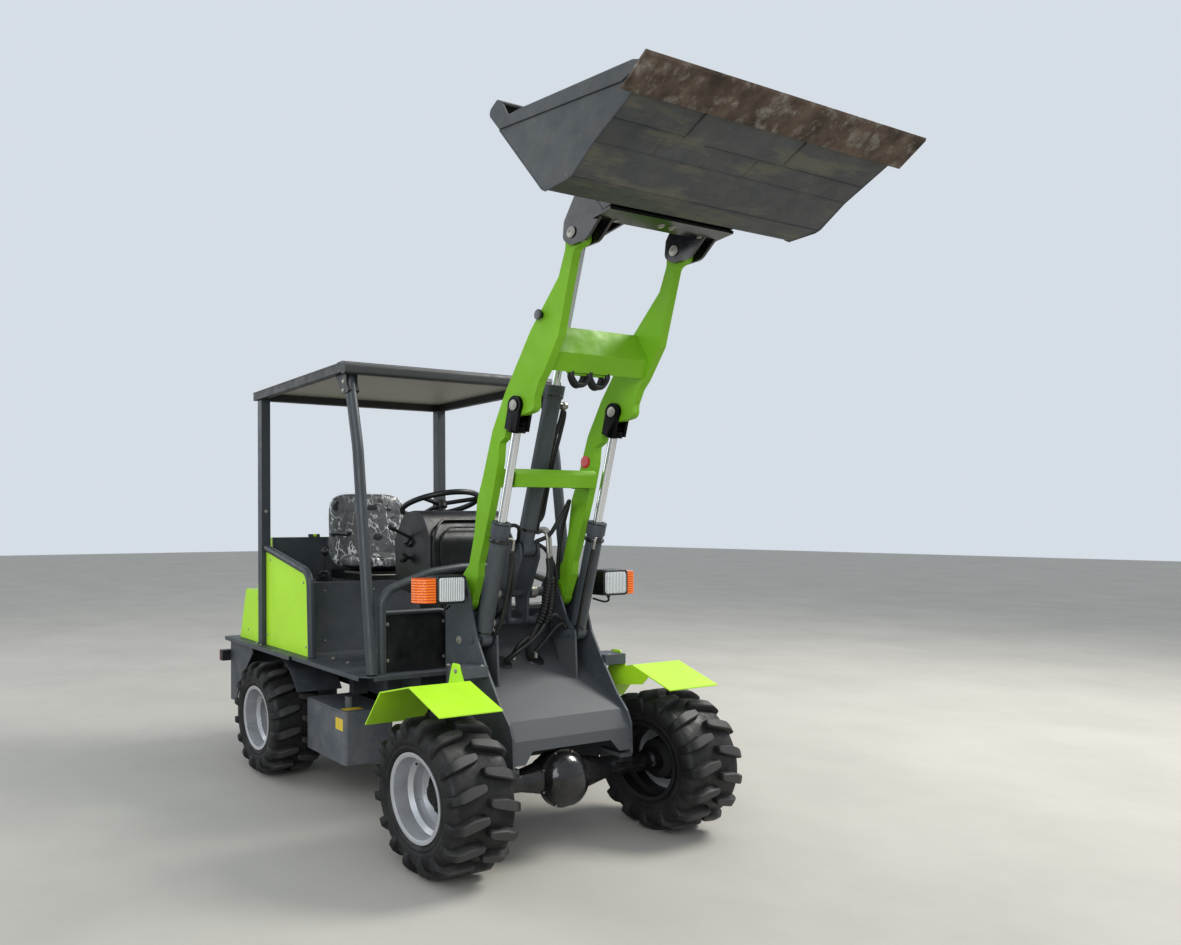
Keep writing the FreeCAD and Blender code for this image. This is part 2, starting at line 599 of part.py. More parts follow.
rail_path = [(-660, 1864, 1335), (-660, 1262, 1208), (-660, 1244, 736.2)]
node("side_rails", *both(pipe(rail_path, D.rail_radius, 90)))
SIDEPANEL = [(1267.2, 736), (1866, 736), (1866, 1311.8), (1284.3, 1189.2, 67)]
node("side_panels", *both(prism("YZ", SIDEPANEL, "-panel_x", "-panel_x + panel_thick")))

posts = both(box(("-rear_post_x - rear_post/2", "-rear_post_x + rear_post/2"), (1869, 1929),
                 ("deck_top", 2258)))
front_path = [(-645, 614, 739), (-645, 697, 1450), (-645, 743, 1864), (-645, 834, 2251)]
front_posts = both(pipe(front_path, D.post_radius, [2600, 900]))
node("canopy_posts", *posts, *front_posts)
beams = [box((-706, -660), (800, 1960), (2258, 2304)), box((660, 706), (800, 1960), (2258, 2304)),
         box((-660, 660), (1914, 1960), (2258, 2304))]
NOSEBEAM = [(760, 2246, 12), (760, 2312, 28), (846, 2312), (846, 2306), (802, 2306),
            (802, 2246, 8)]
front_beam = prism("YZ", NOSEBEAM, "-roof_half", "roof_half")
roof = box(("-roof_half", "roof_half"), (800, 1960), (2303, "roof_top"))
node("canopy_roof", fuse(*beams, front_beam, roof))
CAP = [(806, 2257), (846, 2257), (920, 2257), (878, 2200), (846, 2150, 10), (780, 2156, 10),
       (802, 2200)]
cap = cut(prism("YZ", CAP, -678, -612), pipe(front_path, D.post_radius + 0.3, [2600, 900]))
node("canopy_corner_caps", *both(cap))

seat_box = cut(box((-620, 620), (1430, 1930), (735, 1140)),
               box((-616, 616), (1434, 1926), (734, 1136)))
node("seat_box", seat_box)
hood_front = box((-585, 585), (1930.3, 1940), (1142, 1397))
HOOD_HINGE = (1943.0, 1408.0)
pins = both(rod("x", HOOD_HINGE, 5, -330, -250))
knuckle = fuse(rod("x", HOOD_HINGE, 9, -329, -300), rod("x", HOOD_HINGE, 9, -275, -251),
               box((-329, -300), (1934, 1940), (1394, 1408)),
               box((-275, -251), (1934, 1940), (1394, 1408)))
node("hood_front_panel", fuse(hood_front, *pins, *both(knuckle)))
COWL = [(1941, 735), (2290, 735), (2187, 1063, 20), (1941, 1063)]
COWL_IN = [(1930, 734), (2285, 734), (2183, 1059, 16), (1930, 1059)]
node("rear_cowl", cut(prism("YZ", COWL, -665, 665), prism("YZ", COWL_IN, -661, 661)))
HOOD = [(1945, 1068), (2187, 1068), (2160, 1110, 30), (2030, 1392, 40), (1945, 1398)]
HOOD_IN = [(1940, 1064), (2181, 1064), (2156, 1108, 28), (2027, 1388, 38), (1940, 1394)]
leaf = cut(fuse(rod("x", HOOD_HINGE, 9, -299.5, -275.5),
                box((-299.5, -275.5), (1944, 1956), (1394, 1404))),
           rod("x", HOOD_HINGE, "5 + pin_play", -310, -260))
node("engine_hood", fuse(cut(prism("YZ", HOOD, -585, 585), prism("YZ", HOOD_IN, -581, 581)),
                         *both(leaf)))
node("power_unit", box((-300, 300), (1960, 2150), (735, 1040)))

cushion = prism("YZ", [(1400, 1195.3, 24), (1400, 1304, 44), (1699, 1290, 20), (1699, 1195.3, 12)],
                -260, 260)
back_rest = prism("YZ", [(1726, 1210, 20), (1700, 1300, 40), (1724, 1675, 36), (1816, 1668, 30),
                         (1812, 1210, 20)], -275, 275)
node("seat_cushion", cushion)
node("seat_back", back_rest)
node("seat_base", fuse(box((-200, 200), (1440, 1700), (1140, 1195)),
                       box((-215, 215), (1696, 1850), (1140, 1195)),
                       prism("YZ", [(1812.4, 1190), (1846, 1190), (1852, 1640), (1816.2, 1640)],
                             -60, 60)))

DOME = [(655, 1110, 20), (850, 1110), (985, 1136, 50), (1000, 1400, 80), (900, 1540, 80),
        (740, 1560, 110), (655, 1400, 80)]
pedestal = prism("YZ", [(668, 735), (860, 735), (860, 1124), (668, 1124)], -200, 200)
console = fuse(prism("YZ", DOME, -270, 270), pedestal)
node("console", console)
tilt_back = math.radians(17)
hub = (953.0, 1591.0)
foot_s, foot_z = hub[0] - 160 * math.sin(tilt_back), hub[1] - 160 * math.cos(tilt_back)
node("steering_column", cut(between((foot_s, foot_z), hub, 24, 10, 139.5), console))
ring = Part.makeTorus(D.wheel_ring, D.ring_tube)
spokes = [Part.makeCylinder(9, D.wheel_ring - 6, V(), V(math.cos(a), math.sin(a), 0))
          for a in (math.radians(d) for d in (90, 210, 330))]
centre = Part.makeCylinder(38, 34, V(0, 0, -20))
wheel = feature(ring.multiFuse(spokes + [centre]), "wheel")
wheel.Placement = FreeCAD.Placement(V(0, y(hub[0]), hub[1]), FreeCAD.Rotation(V(1, 0, 0), -17))
node("steering_wheel", wheel)

hoop = [(-580, 628, 735), (-580, 628, 1090), (-537, 628, 1153), (-300, 628, 1233),
        (-100, 628, 1254), (100, 628, 1254), (300, 628, 1233), (537, 628, 1153),
        (580, 628, 1090), (580, 628, 735)]
inner = [(-570, 628, 1038), (-188, 628, 1038), (-188, 628, 735)]
node("front_guards", fuse(pipe(hoop, D.guard_tube, [80, 80, 400, 400, 400, 400, 80, 80]),
                          *both(pipe(inner, 13, 50))))
PANEL = [(-557.5, 741), (-201.5, 741), (-201.5, 1024.5, 38), (-557.5, 1024.5)]
node("front_panels", *both(prism("XZ", PANEL, 626, 630)))
lever = between((1560, 1141), (1540, 1300), 8, 0, 170, -420)
knob = feature(Part.makeSphere(24, V(-420, y(1539), 1316)))
node("control_levers", fuse(lever, knob, rod("z", (-420, 1558), 40, 1140, 1180)))

hitch = fuse(box((-60, 60), (2380, 2456), (440, 456)),
             box((-60, 60), (2380, 2456), (500, 516)),
             box((-90, 90), (2374, 2386), (424, 532)))
node("tow_hitch", cut(hitch, rod("z", (0, 2424), 16, 430, 530)))
node("tail_lamps", *both(box((-760, -640), (2374, 2430), (570, 640))))

# Checks and files

doc.recompute()
wrong = ["%s (%s)" % (obj.Name, obj.Label) for obj in doc.Objects
         if "Invalid" in obj.State or "Error" in obj.State]
if wrong:
    raise RuntimeError("bad state: " + ", ".join(wrong))
for name, piece in NODES.items():
    shape = piece.Shape
    if shape.isNull() or not shape.isValid() or not shape.Solids:
        raise RuntimeError("bad shape: " + name)
    shape.exportStep(os.path.join("parts", name + ".step"))
    b = shape.BoundBox
    print("%-22s %8.0f cm3  X %6.0f %6.0f  Y %6.0f %6.0f  Z %6.0f %6.0f  solids %d" % (
        name, shape.Volume / 1000, b.XMin, b.XMax, b.YMin, b.YMax, b.ZMin, b.ZMax, len(shape.Solids)))
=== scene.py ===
import json
import math
import bmesh
import bpy
from mathutils import Euler, Matrix, Vector


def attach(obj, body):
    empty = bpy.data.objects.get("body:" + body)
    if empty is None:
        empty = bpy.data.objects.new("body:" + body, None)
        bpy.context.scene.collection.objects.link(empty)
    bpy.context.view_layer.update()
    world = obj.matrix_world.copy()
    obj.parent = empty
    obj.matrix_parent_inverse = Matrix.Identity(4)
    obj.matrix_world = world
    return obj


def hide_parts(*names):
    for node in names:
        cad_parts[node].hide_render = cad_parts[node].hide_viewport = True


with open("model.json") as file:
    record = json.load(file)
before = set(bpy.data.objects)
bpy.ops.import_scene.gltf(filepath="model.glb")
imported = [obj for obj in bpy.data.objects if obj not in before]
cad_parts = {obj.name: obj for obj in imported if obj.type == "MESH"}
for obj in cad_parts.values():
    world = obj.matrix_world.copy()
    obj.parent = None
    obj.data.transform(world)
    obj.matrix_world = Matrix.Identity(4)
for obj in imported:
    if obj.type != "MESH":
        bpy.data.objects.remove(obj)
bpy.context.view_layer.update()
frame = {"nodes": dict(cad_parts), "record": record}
nodes = frame["nodes"]
AXLE_MIDDLE, AXLE_HALF, AXLE_HEIGHT = 0.209, 0.849, 0.33  # metres
WHEELS = {"front_right": (-1, 0), "front_left": (1, 0), "rear_right": (-1, 1698), "rear_left": (1, 1698)}


def at(x, s, z):
    """Point in metres from millimetres: x to the left, s behind the front axle, z up."""
    return Vector((x / 1000, (s - 640) / 1000, z / 1000))


# Camera, light and floor

cam_data = bpy.data.cameras.new("camera")
cam_data.sensor_width = 36
cam_data.lens = 26.549
cam_data.shift_x = 0.25
cam_data.shift_y = 0.035
cam = bpy.data.objects.new("camera", cam_data)
bpy.context.collection.objects.link(cam)
right = Vector((0.90190341, -0.43192443, -0.00339455))
up = Vector((-0.00185485, -0.01173171, 0.99992946))
forward = Vector((0.43193379, 0.90183349, 0.01138203))
cam.matrix_world = Matrix.LocRotScale(Vector((-2.83594, -3.73263, 1.48372)),
                                      Matrix((right, up, -forward)).transposed().to_quaternion(), None)
bpy.context.scene.camera = cam


def area_light(name, spot, target, size, power, tint=(1, 1, 1)):
    data = bpy.data.lights.new(name, "AREA")
    data.shape = "DISK"
    data.size, data.energy, data.color = size, power, tint
    lamp = bpy.data.objects.new(name, data)
    lamp.location = spot
    lamp.rotation_euler = (Vector(target) - Vector(spot)).to_track_quat("-Z", "Y").to_euler()
    bpy.context.collection.objects.link(lamp)


area_light("key", (6.5, -2.2, 7.2), (0, 0, 1), 3.4, 640, (1, 0.97, 0.92))
area_light("fill", (-5.5, -4.5, 3.6), (0, 0, 1.2), 5.0, 200, (0.95, 0.98, 1))
area_light("rim", (-5.5, 6.5, 4.0), (0, 0, 1.0), 6.0, 110, (0.96, 0.98, 1))
world = bpy.data.worlds.new("studio")
bpy.context.scene.world = world
world.use_nodes = True
world.node_tree.nodes["Background"].inputs["Color"].default_value = (0.80, 0.86, 0.93, 1)
world.node_tree.nodes["Background"].inputs["Strength"].default_value = 0.72
bpy.context.scene.view_settings.view_transform = "Standard"
bpy.context.scene.view_settings.look = "Medium High Contrast"


# Materials

def shader(name):
    material = bpy.data.materials.new(name)
    material.use_nodes = True
    return material, material.node_tree, material.node_tree.nodes["Principled BSDF"]


def new(tree, kind, **inputs):
    item = tree.nodes.new(kind)
    for key, value in inputs.items():
        item.inputs[key.replace("_", " ")].default_value = value
    return item


def noise(tree, scale, detail=4, rough=0.6, stretch=None):
    """Noise over the piece's own coordinates, so it moves with the piece."""
    place = tree.nodes.new("ShaderNodeTexCoord").outputs["Object"]
    if stretch:
        squeeze = new(tree, "ShaderNodeMapping")
        squeeze.inputs["Scale"].default_value = stretch
        tree.links.new(place, squeeze.inputs["Vector"])
        place = squeeze.outputs["Vector"]
    grain = new(tree, "ShaderNodeTexNoise", Scale=scale, Detail=detail, Roughness=rough)
    tree.links.new(place, grain.inputs["Vector"])
    return grain.outputs["Fac"]


def ramp(tree, fac, low, high, start=0.0, end=1.0):
    """Maps low..high of fac to start..end, clamped."""
    item = tree.nodes.new("ShaderNodeMapRange")
    for key, value in zip(("From Min", "From Max", "To Min", "To Max"), (low, high, start, end)):
        item.inputs[key].default_value = value
    tree.links.new(fac, item.inputs["Value"])
    return item.outputs["Result"]


def maths(tree, action, a, b=0.0):
    item = tree.nodes.new("ShaderNodeMath")
    item.operation = action
    for slot, value in zip(item.inputs, (a, b)):
        if isinstance(value, (int, float)):
            slot.default_value = value
        else:
            tree.links.new(value, slot)
    return item.outputs["Value"]


def blend(tree, fac, a, b):
    """Colour a where fac is 0, colour b where it is 1."""
    item = tree.nodes.new("ShaderNodeMix")
    item.data_type = "RGBA"
    for slot, value in ((0, fac), (6, a), (7, b)):
        if isinstance(value, (int, float, tuple)):
            item.inputs[slot].default_value = value if not isinstance(value, tuple) else (*value, 1)
        else:
            tree.links.new(value, item.inputs[slot])
    return item.outputs[2]


def separate(tree):
    """X, Y and Z in metres, at rest."""
    split = tree.nodes.new("ShaderNodeSeparateXYZ")
    tree.links.new(tree.nodes.new("ShaderNodeTexCoord").outputs["Object"], split.inputs["Vector"])
    return split.outputs


def bump(tree, bsdf, fac, strength, distance=0.001):
    item = new(tree, "ShaderNodeBump", Strength=strength, Distance=distance)
    tree.links.new(fac, item.inputs["Height"])
    tree.links.new(item.outputs["Normal"], bsdf.inputs["Normal"])


def finish(name, base, rough=0.4, metal=0.0, vary=0.12, dust=0.15, grain=0.05, coat=0.0, edge=None,
           grime=(0.36, 0.33, 0.28), scale=1.0, rough_vary=0.12, spots=None):
    """A surface with colour variation, settled dust, roughness variation and fine bump.
    edge: paint worn to this colour in small chips. spots: colour of large stains."""
    material, tree, bsdf = shader(name)
    dark = tuple(c * (1 - vary) for c in base)
    light = tuple(min(1, c * (1 + vary)) for c in base)
    colour = blend(tree, ramp(tree, noise(tree, 3 * scale, 5), 0.35, 0.65), dark, light)
    if spots:
        mask = ramp(tree, noise(tree, 5 * scale, 6, 0.7), 0.52, 0.68, 0, 0.75)
        colour = blend(tree, mask, colour, spots)
    if edge:
        mask = ramp(tree, noise(tree, 60 * scale, 3, 0.7), 0.66, 0.69)
        colour = blend(tree, mask, colour, edge)
    if dust:
        low = ramp(tree, separate(tree)["Z"], 1.0, 0.2, 0.25, 1.0)
        cover = maths(tree, "MULTIPLY", ramp(tree, noise(tree, 9 * scale, 7, 0.7), 0.42, 0.72), low)
        colour = blend(tree, maths(tree, "MULTIPLY", cover, dust), colour, grime)
    tree.links.new(colour, bsdf.inputs["Base Color"])
    bsdf.inputs["Metallic"].default_value = metal
    wear = ramp(tree, noise(tree, 14 * scale, 6, 0.65), 0.3, 0.7, max(0.02, rough - rough_vary),
                min(1, rough + rough_vary))
    tree.links.new(wear, bsdf.inputs["Roughness"])
    bsdf.inputs["Coat Weight"].default_value = coat
    bsdf.inputs["Coat Roughness"].default_value = 0.12
    if grain:
        bump(tree, bsdf, noise(tree, 140 * scale, 5, 0.6), grain)
    return material


def hypotenuse(tree, a, b):
    squares = maths(tree, "MULTIPLY", a, a), maths(tree, "MULTIPLY", b, b)
    return maths(tree, "SQRT", maths(tree, "ADD", *squares))


def away(tree, y, z):
    """Distance from a line along X through (y, z), in metres."""
    spot = separate(tree)
    return hypotenuse(tree, maths(tree, "SUBTRACT", spot["Y"], y), maths(tree, "SUBTRACT", spot["Z"], z))


def axle_distance(tree):
    """Distance from the nearer axle's line."""
    spot = separate(tree)
    from_middle = maths(tree, "ABSOLUTE", maths(tree, "SUBTRACT", spot["Y"], AXLE_MIDDLE))
    return hypotenuse(tree, maths(tree, "SUBTRACT", from_middle, AXLE_HALF),
                      maths(tree, "SUBTRACT", spot["Z"], AXLE_HEIGHT))


def overlay(material, mask, base, rough=None, metal=None):
    """Paints a second colour, roughness and metal where the mask is 1."""
    tree, bsdf = material.node_tree, material.node_tree.nodes["Principled BSDF"]
    fac = mask(tree)
    colour = bsdf.inputs["Base Color"]
    tree.links.new(blend(tree, fac, colour.links[0].from_socket, base), colour)
    if rough is not None:
        was = bsdf.inputs["Roughness"].links[0].from_socket
        part = maths(tree, "MULTIPLY", was, maths(tree, "SUBTRACT", 1.0, fac))
        total = maths(tree, "ADD", part, maths(tree, "MULTIPLY", fac, rough))
        tree.links.new(total, bsdf.inputs["Roughness"])
    if metal is not None:
        slot = bsdf.inputs["Metallic"]
        tree.links.new(ramp(tree, fac, 0, 1, slot.default_value, metal), slot)
    return material


def fluted(material, axis, scale, strength, groove_shade):
    """Pressed ribs in a lens, across one axis, with painted shade in the grooves."""
    tree, bsdf = material.node_tree, material.node_tree.nodes["Principled BSDF"]
    wave = maths(tree, "SINE", maths(tree, "MULTIPLY", separate(tree)[axis], scale))
    bump(tree, bsdf, maths(tree, "ADD", wave, maths(tree, "MULTIPLY", noise(tree, 60), 0.8)), strength, 0.002)
    colour = bsdf.inputs["Base Color"]
    # Painted shade: the grooves between the ribs are darkened in colour along the ribs' wave.
    tree.links.new(blend(tree, ramp(tree, wave, -1, 1), colour.links[0].from_socket, groove_shade), colour)
    return material


SLATE = (0.062, 0.071, 0.083)
M = {
    "body_lime": finish("lime_paint", (0.45, 0.78, 0.030), 0.42, vary=0.04, dust=0.08, coat=0.12),
    # Boom paint: the lime in a darker green, darkened partly as painted shade for the boom's shaded sides.
    "arm_green": finish("green_paint_with_painted_shade", (0.19, 0.42, 0.012), 0.62, vary=0.07, dust=0.12),
    "frame_grey": finish("slate_paint", SLATE, 0.52, vary=0.12, dust=0.22, coat=0.04),
    "light_grey": finish("roof_paint", (0.035, 0.037, 0.040), 0.5, vary=0.1, dust=0.1),
    "gloss_black": finish("black_enamel", (0.010, 0.010, 0.012), 0.22, vary=0.2, dust=0.1, coat=0.4),
    "bucket_paint": finish("bucket_paint", (0.068, 0.074, 0.080), 0.55, vary=0.14, dust=0.6,
                           edge=(0.13, 0.13, 0.11), grime=(0.24, 0.22, 0.16)),
    "edge_steel": finish("rusty_edge", (0.110, 0.080, 0.060), 0.75, 0.1, vary=0.5, dust=0.5, grain=0.5,
                         grime=(0.05, 0.04, 0.035), spots=(0.33, 0.31, 0.27), scale=3),
    "pin_steel": finish("pin_steel", (0.27, 0.26, 0.24), 0.45, 0.8, vary=0.2, dust=0.1, grain=0.15),
    "rod_chrome": finish("rod_chrome", (0.72, 0.73, 0.74), 0.16, 0.9, vary=0.03, dust=0.05, grain=0.01,
                         rough_vary=0.05),
    "rim_silver": finish("rim_silver", (0.50, 0.51, 0.53), 0.36, 0.55, vary=0.06, dust=0.25, coat=0.1),
    "tyre": finish("tyre_rubber", (0.0095, 0.0095, 0.010), 0.62, vary=0.3, dust=0.22, grain=0.35,
                   grime=(0.13, 0.12, 0.11), rough_vary=0.18),
    "black_plastic": finish("black_plastic", (0.010, 0.011, 0.013), 0.42, vary=0.2, dust=0.12, grain=0.25),
    "seat_vinyl": finish("black_vinyl", (0.012, 0.012, 0.014), 0.42, vary=0.2, dust=0.06, grain=0.4),
    "clear_lens": finish("clear_lens", (0.80, 0.82, 0.84), 0.08, vary=0.05, dust=0.04, grain=0.02),
    # The amber lens's last colour is painted shade in the grooves of its flutes.
    "amber_lens": fluted(finish("amber_lens", (0.95, 0.24, 0.012), 0.14, vary=0.1, dust=0.05, grain=0),
                         "Z", 520, 0.5, (0.62, 0.07, 0.004)),
    "red_lens": finish("red_lens", (0.50, 0.015, 0.01), 0.14, vary=0.1, dust=0.05, grain=0.02),
    "zinc": finish("zinc_plate", (0.40, 0.385, 0.35), 0.42, 0.75, vary=0.22, dust=0.3, grain=0.15,
                   grime=(0.16, 0.10, 0.06)),
    "hose": finish("hose_rubber", (0.012, 0.012, 0.013), 0.45, vary=0.2, dust=0.15, grain=0.3),
    "blank_plate": finish("blank_plate", (0.72, 0.52, 0.03), 0.4, vary=0.06, dust=0.3, grain=0.1),
    # The clear lens's last colour is painted shade in the grooves of its flutes.
    "lens_glass": fluted(finish("lens_glass", (0.92, 0.94, 0.96), 0.10, 0.1, vary=0.1, dust=0.03, grain=0),
                         "X", 640, 0.6, (0.324, 0.3348, 0.3492)),
    "clear_film": finish("clear_film", (0.82, 0.84, 0.86), 0.16, vary=0.08, dust=0, grain=0, coat=0.6),
}


def film():
    """Clear wrap: mostly see-through, with white creases that are partly painted highlight."""
    material = M["clear_film"]
    tree, bsdf = material.node_tree, material.node_tree.nodes["Principled BSDF"]
    creases = noise(tree, 8, 3, 0.66, (1.5, 1.0, 0.7))
    ridge = ramp(tree, maths(tree, "ABSOLUTE", maths(tree, "SUBTRACT", creases, 0.5)), 0.0, 0.030, 1.0, 0.0)
    patch = ramp(tree, noise(tree, 8, 3, 0.6), 0.38, 0.58, 0.2, 1.0)
    # Painted highlight: the wrap turns whiter and less clear along its creases, partly the folds' own
    # whitening.
    crease_white_and_highlight = maths(tree, "MULTIPLY", ridge, patch)
    tree.links.new(ramp(tree, crease_white_and_highlight, 0, 1, 0.12, 0.85), bsdf.inputs["Alpha"])
    bump(tree, bsdf, creases, 0.7, 0.006)


film()
BLACK = (0.012, 0.012, 0.013)
ROOF_UNDERSIDE = 2.303
ROD_EYES = ((-0.712, 2.0, 0.122), (-0.810, 2.790, 0.045))  # y, z, reach of the black paint round each
overlay(M["tyre"], lambda t: ramp(t, axle_distance(t), 0.316, 0.328, 0, 0.85), (0.060, 0.058, 0.056), 0.6)
overlay(M["rim_silver"], lambda t: ramp(t, axle_distance(t), 0.104, 0.102), BLACK, 0.35, 0.0)
overlay(M["rim_silver"], lambda t: ramp(t, maths(t, "ABSOLUTE", separate(t)["X"]), 0.642, 0.640),
        (0.014, 0.014, 0.015), 0.5, 0.0)
overlay(M["light_grey"],
        lambda t: ramp(t, maths(t, "ABSOLUTE", maths(t, "SUBTRACT", separate(t)["Z"], ROOF_UNDERSIDE)),
                       0.0009, 0.0007), (0.34, 0.325, 0.30), 0.5)
for y, z, reach in ROD_EYES:
    overlay(M["rod_chrome"], lambda t: ramp(t, away(t, y, z), reach + 0.001, reach), BLACK, 0.3, 0.0)
rear_red = finish("tail_lamp", (0.014, 0.014, 0.016), 0.4, vary=0.2, dust=0.2, grain=0.2)
overlay(rear_red, lambda t: ramp(t, separate(t)["Y"], 1.781, 1.783), (0.50, 0.015, 0.01), 0.14)


def smears(tree):
    """Settled dust in streaks across the bucket's floor."""
    streaks = ramp(tree, noise(tree, 3.2, 5, 0.62, (1.0, 4.5, 4.5)), 0.50, 0.62)
    spot = separate(tree)
    under = ramp(tree, maths(tree, "ABSOLUTE", spot["X"]), 0.667, 0.664)
    return maths(tree, "MULTIPLY", maths(tree, "MULTIPLY", streaks, under), 0.5)


overlay(M["bucket_paint"], smears, (0.19, 0.175, 0.125), 0.7)
tower = finish("tower_paint", SLATE, 0.52, vary=0.12, dust=0.22, coat=0.04)


def slope(tree):
    """1 on the tower's sloped plate, between its side plates."""
    spot = separate(tree)
    low = ramp(tree, spot["Z"], 0.9055, 0.9045)
    inside = ramp(tree, maths(tree, "ABSOLUTE", spot["X"]), 0.3415, 0.3410)
    fore = ramp(tree, spot["Y"], -0.2355, -0.2365)
    return maths(tree, "MULTIPLY", maths(tree, "MULTIPLY", low, inside), fore)


overlay(tower, slope, (0.085, 0.090, 0.095), 0.55)
posts = finish("post_paint", (0.050, 0.057, 0.066), 0.46, vary=0.1, dust=0.12, coat=0.05)
box_grey = finish("box_paint", (0.105, 0.115, 0.130), 0.55, vary=0.08, dust=0.3)
OWN = {"tail_lamps": rear_red, "front_frame": tower, "canopy_posts": posts, "side_rails": posts,
       "front_guards": posts, "battery_box": box_grey}


# Modifiers that tidy and soften the frame's solids

def tidy_group(limit):
    """Welds the corners and shades only edges under that many degrees as smooth."""
    group = bpy.data.node_groups.new("tidy", "GeometryNodeTree")
    group.interface.new_socket("Geometry", in_out="INPUT", socket_type="NodeSocketGeometry")
    group.interface.new_socket("Geometry", in_out="OUTPUT", socket_type="NodeSocketGeometry")
    start, end = group.nodes.new("NodeGroupInput"), group.nodes.new("NodeGroupOutput")
    weld = group.nodes.new("GeometryNodeMergeByDistance")
    weld.inputs["Distance"].default_value = 0.00002
    normal = group.nodes.new("GeometryNodeSetMeshNormal")
    normal.mode = "SHARPNESS"
    normal.inputs["Remove Custom"].default_value = True
    angle = group.nodes.new("GeometryNodeInputMeshEdgeAngle")
    sharp = group.nodes.new("FunctionNodeCompare")
    sharp.data_type, sharp.operation = "FLOAT", "GREATER_THAN"
    sharp.inputs[1].default_value = math.radians(limit)
    group.links.new(angle.outputs["Unsigned Angle"], sharp.inputs[0])
    group.links.new(start.outputs[0], weld.inputs["Geometry"])
    group.links.new(weld.outputs["Geometry"], normal.inputs["Mesh"])
    group.links.new(sharp.outputs["Result"], normal.inputs["Edge Sharpness"])
    group.links.new(normal.outputs["Mesh"], end.inputs[0])
    return group


ROUND, FOLDED = tidy_group(32), tidy_group(11)
PLATES = {"boom", "front_frame", "bucket", "cutting_edge", "front_fenders", "rear_frame", "rear_mudguards"}


def soften(obj, width, segments=2):
    """Rounded edges of that width in mm on a solid whose shape stays."""
    weld = obj.modifiers.new("tidy", "NODES")
    weld.node_group = FOLDED if obj.name in PLATES else ROUND
    flat = obj.modifiers.new("flat", "DECIMATE")
    flat.decimate_type, flat.angle_limit = "DISSOLVE", math.radians(1)
    if width:
        edge = obj.modifiers.new("edge", "BEVEL")
        edge.width, edge.segments, edge.limit_method = width / 1000, segments, "ANGLE"
        edge.angle_limit, edge.harden_normals = math.radians(32), obj.name not in PLATES
        edge.use_clamp_overlap = True
        if obj.name in PLATES:
            level = obj.modifiers.new("level", "WEIGHTED_NORMAL")
            level.weight, level.keep_sharp = 100, True


def paint(obj, material):
    obj.data.materials.clear()
    obj.data.materials.append(material)


EDGE = {"boom": 2.5, "bucket": 2, "cutting_edge": 1.5, "canopy_roof": 2, "console": 6, "seat_base": 4,
        "battery_box": 3, "hydraulic_tank": 6, "front_frame": 1.5, "rear_frame": 1.5, "tail_lamps": 1.5,
        "headlamp_housings": 4, "headlamp_lenses": 3, "turn_lamps": 4, "engine_hood": 5, "rear_cowl": 4,
        "canopy_corner_caps": 2, "front_fenders": 1, "side_panels": 1, "steering_wheel": 0,
        "rim_front_right": 1, "rim_front_left": 1, "rim_rear_right": 1, "rim_rear_left": 1}
slots = {part["node"]: part["material_slot"] for part in frame["record"]["subparts"]}
for name, obj in nodes.items():
    paint(obj, OWN.get(name, M[slots[name]]))
    soften(obj, EDGE.get(name, 1.5))


# Pieces

def link(name, mesh, body, material=None):
    obj = bpy.data.objects.new(name, mesh)
    bpy.context.collection.objects.link(obj)
    if material:
        mesh.materials.clear()
        mesh.materials.append(material)
    if body:
        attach(obj, body)
    return obj


def floor():
    mesh = bpy.data.meshes.new("floor")
    mesh.from_pydata([(-40, -40, 0), (40, -40, 0), (40, 40, 0), (-40, 40, 0)], [], [(0, 1, 2, 3)])
    pale = finish("pale_floor", (0.44, 0.42, 0.38), 0.8, vary=0.05, dust=0, grain=0.1, scale=0.3)
    obj = link("floor", mesh, None, pale)


floor()


# Forms for the pieces, in mm as (x to the left, station behind the front axle, height)


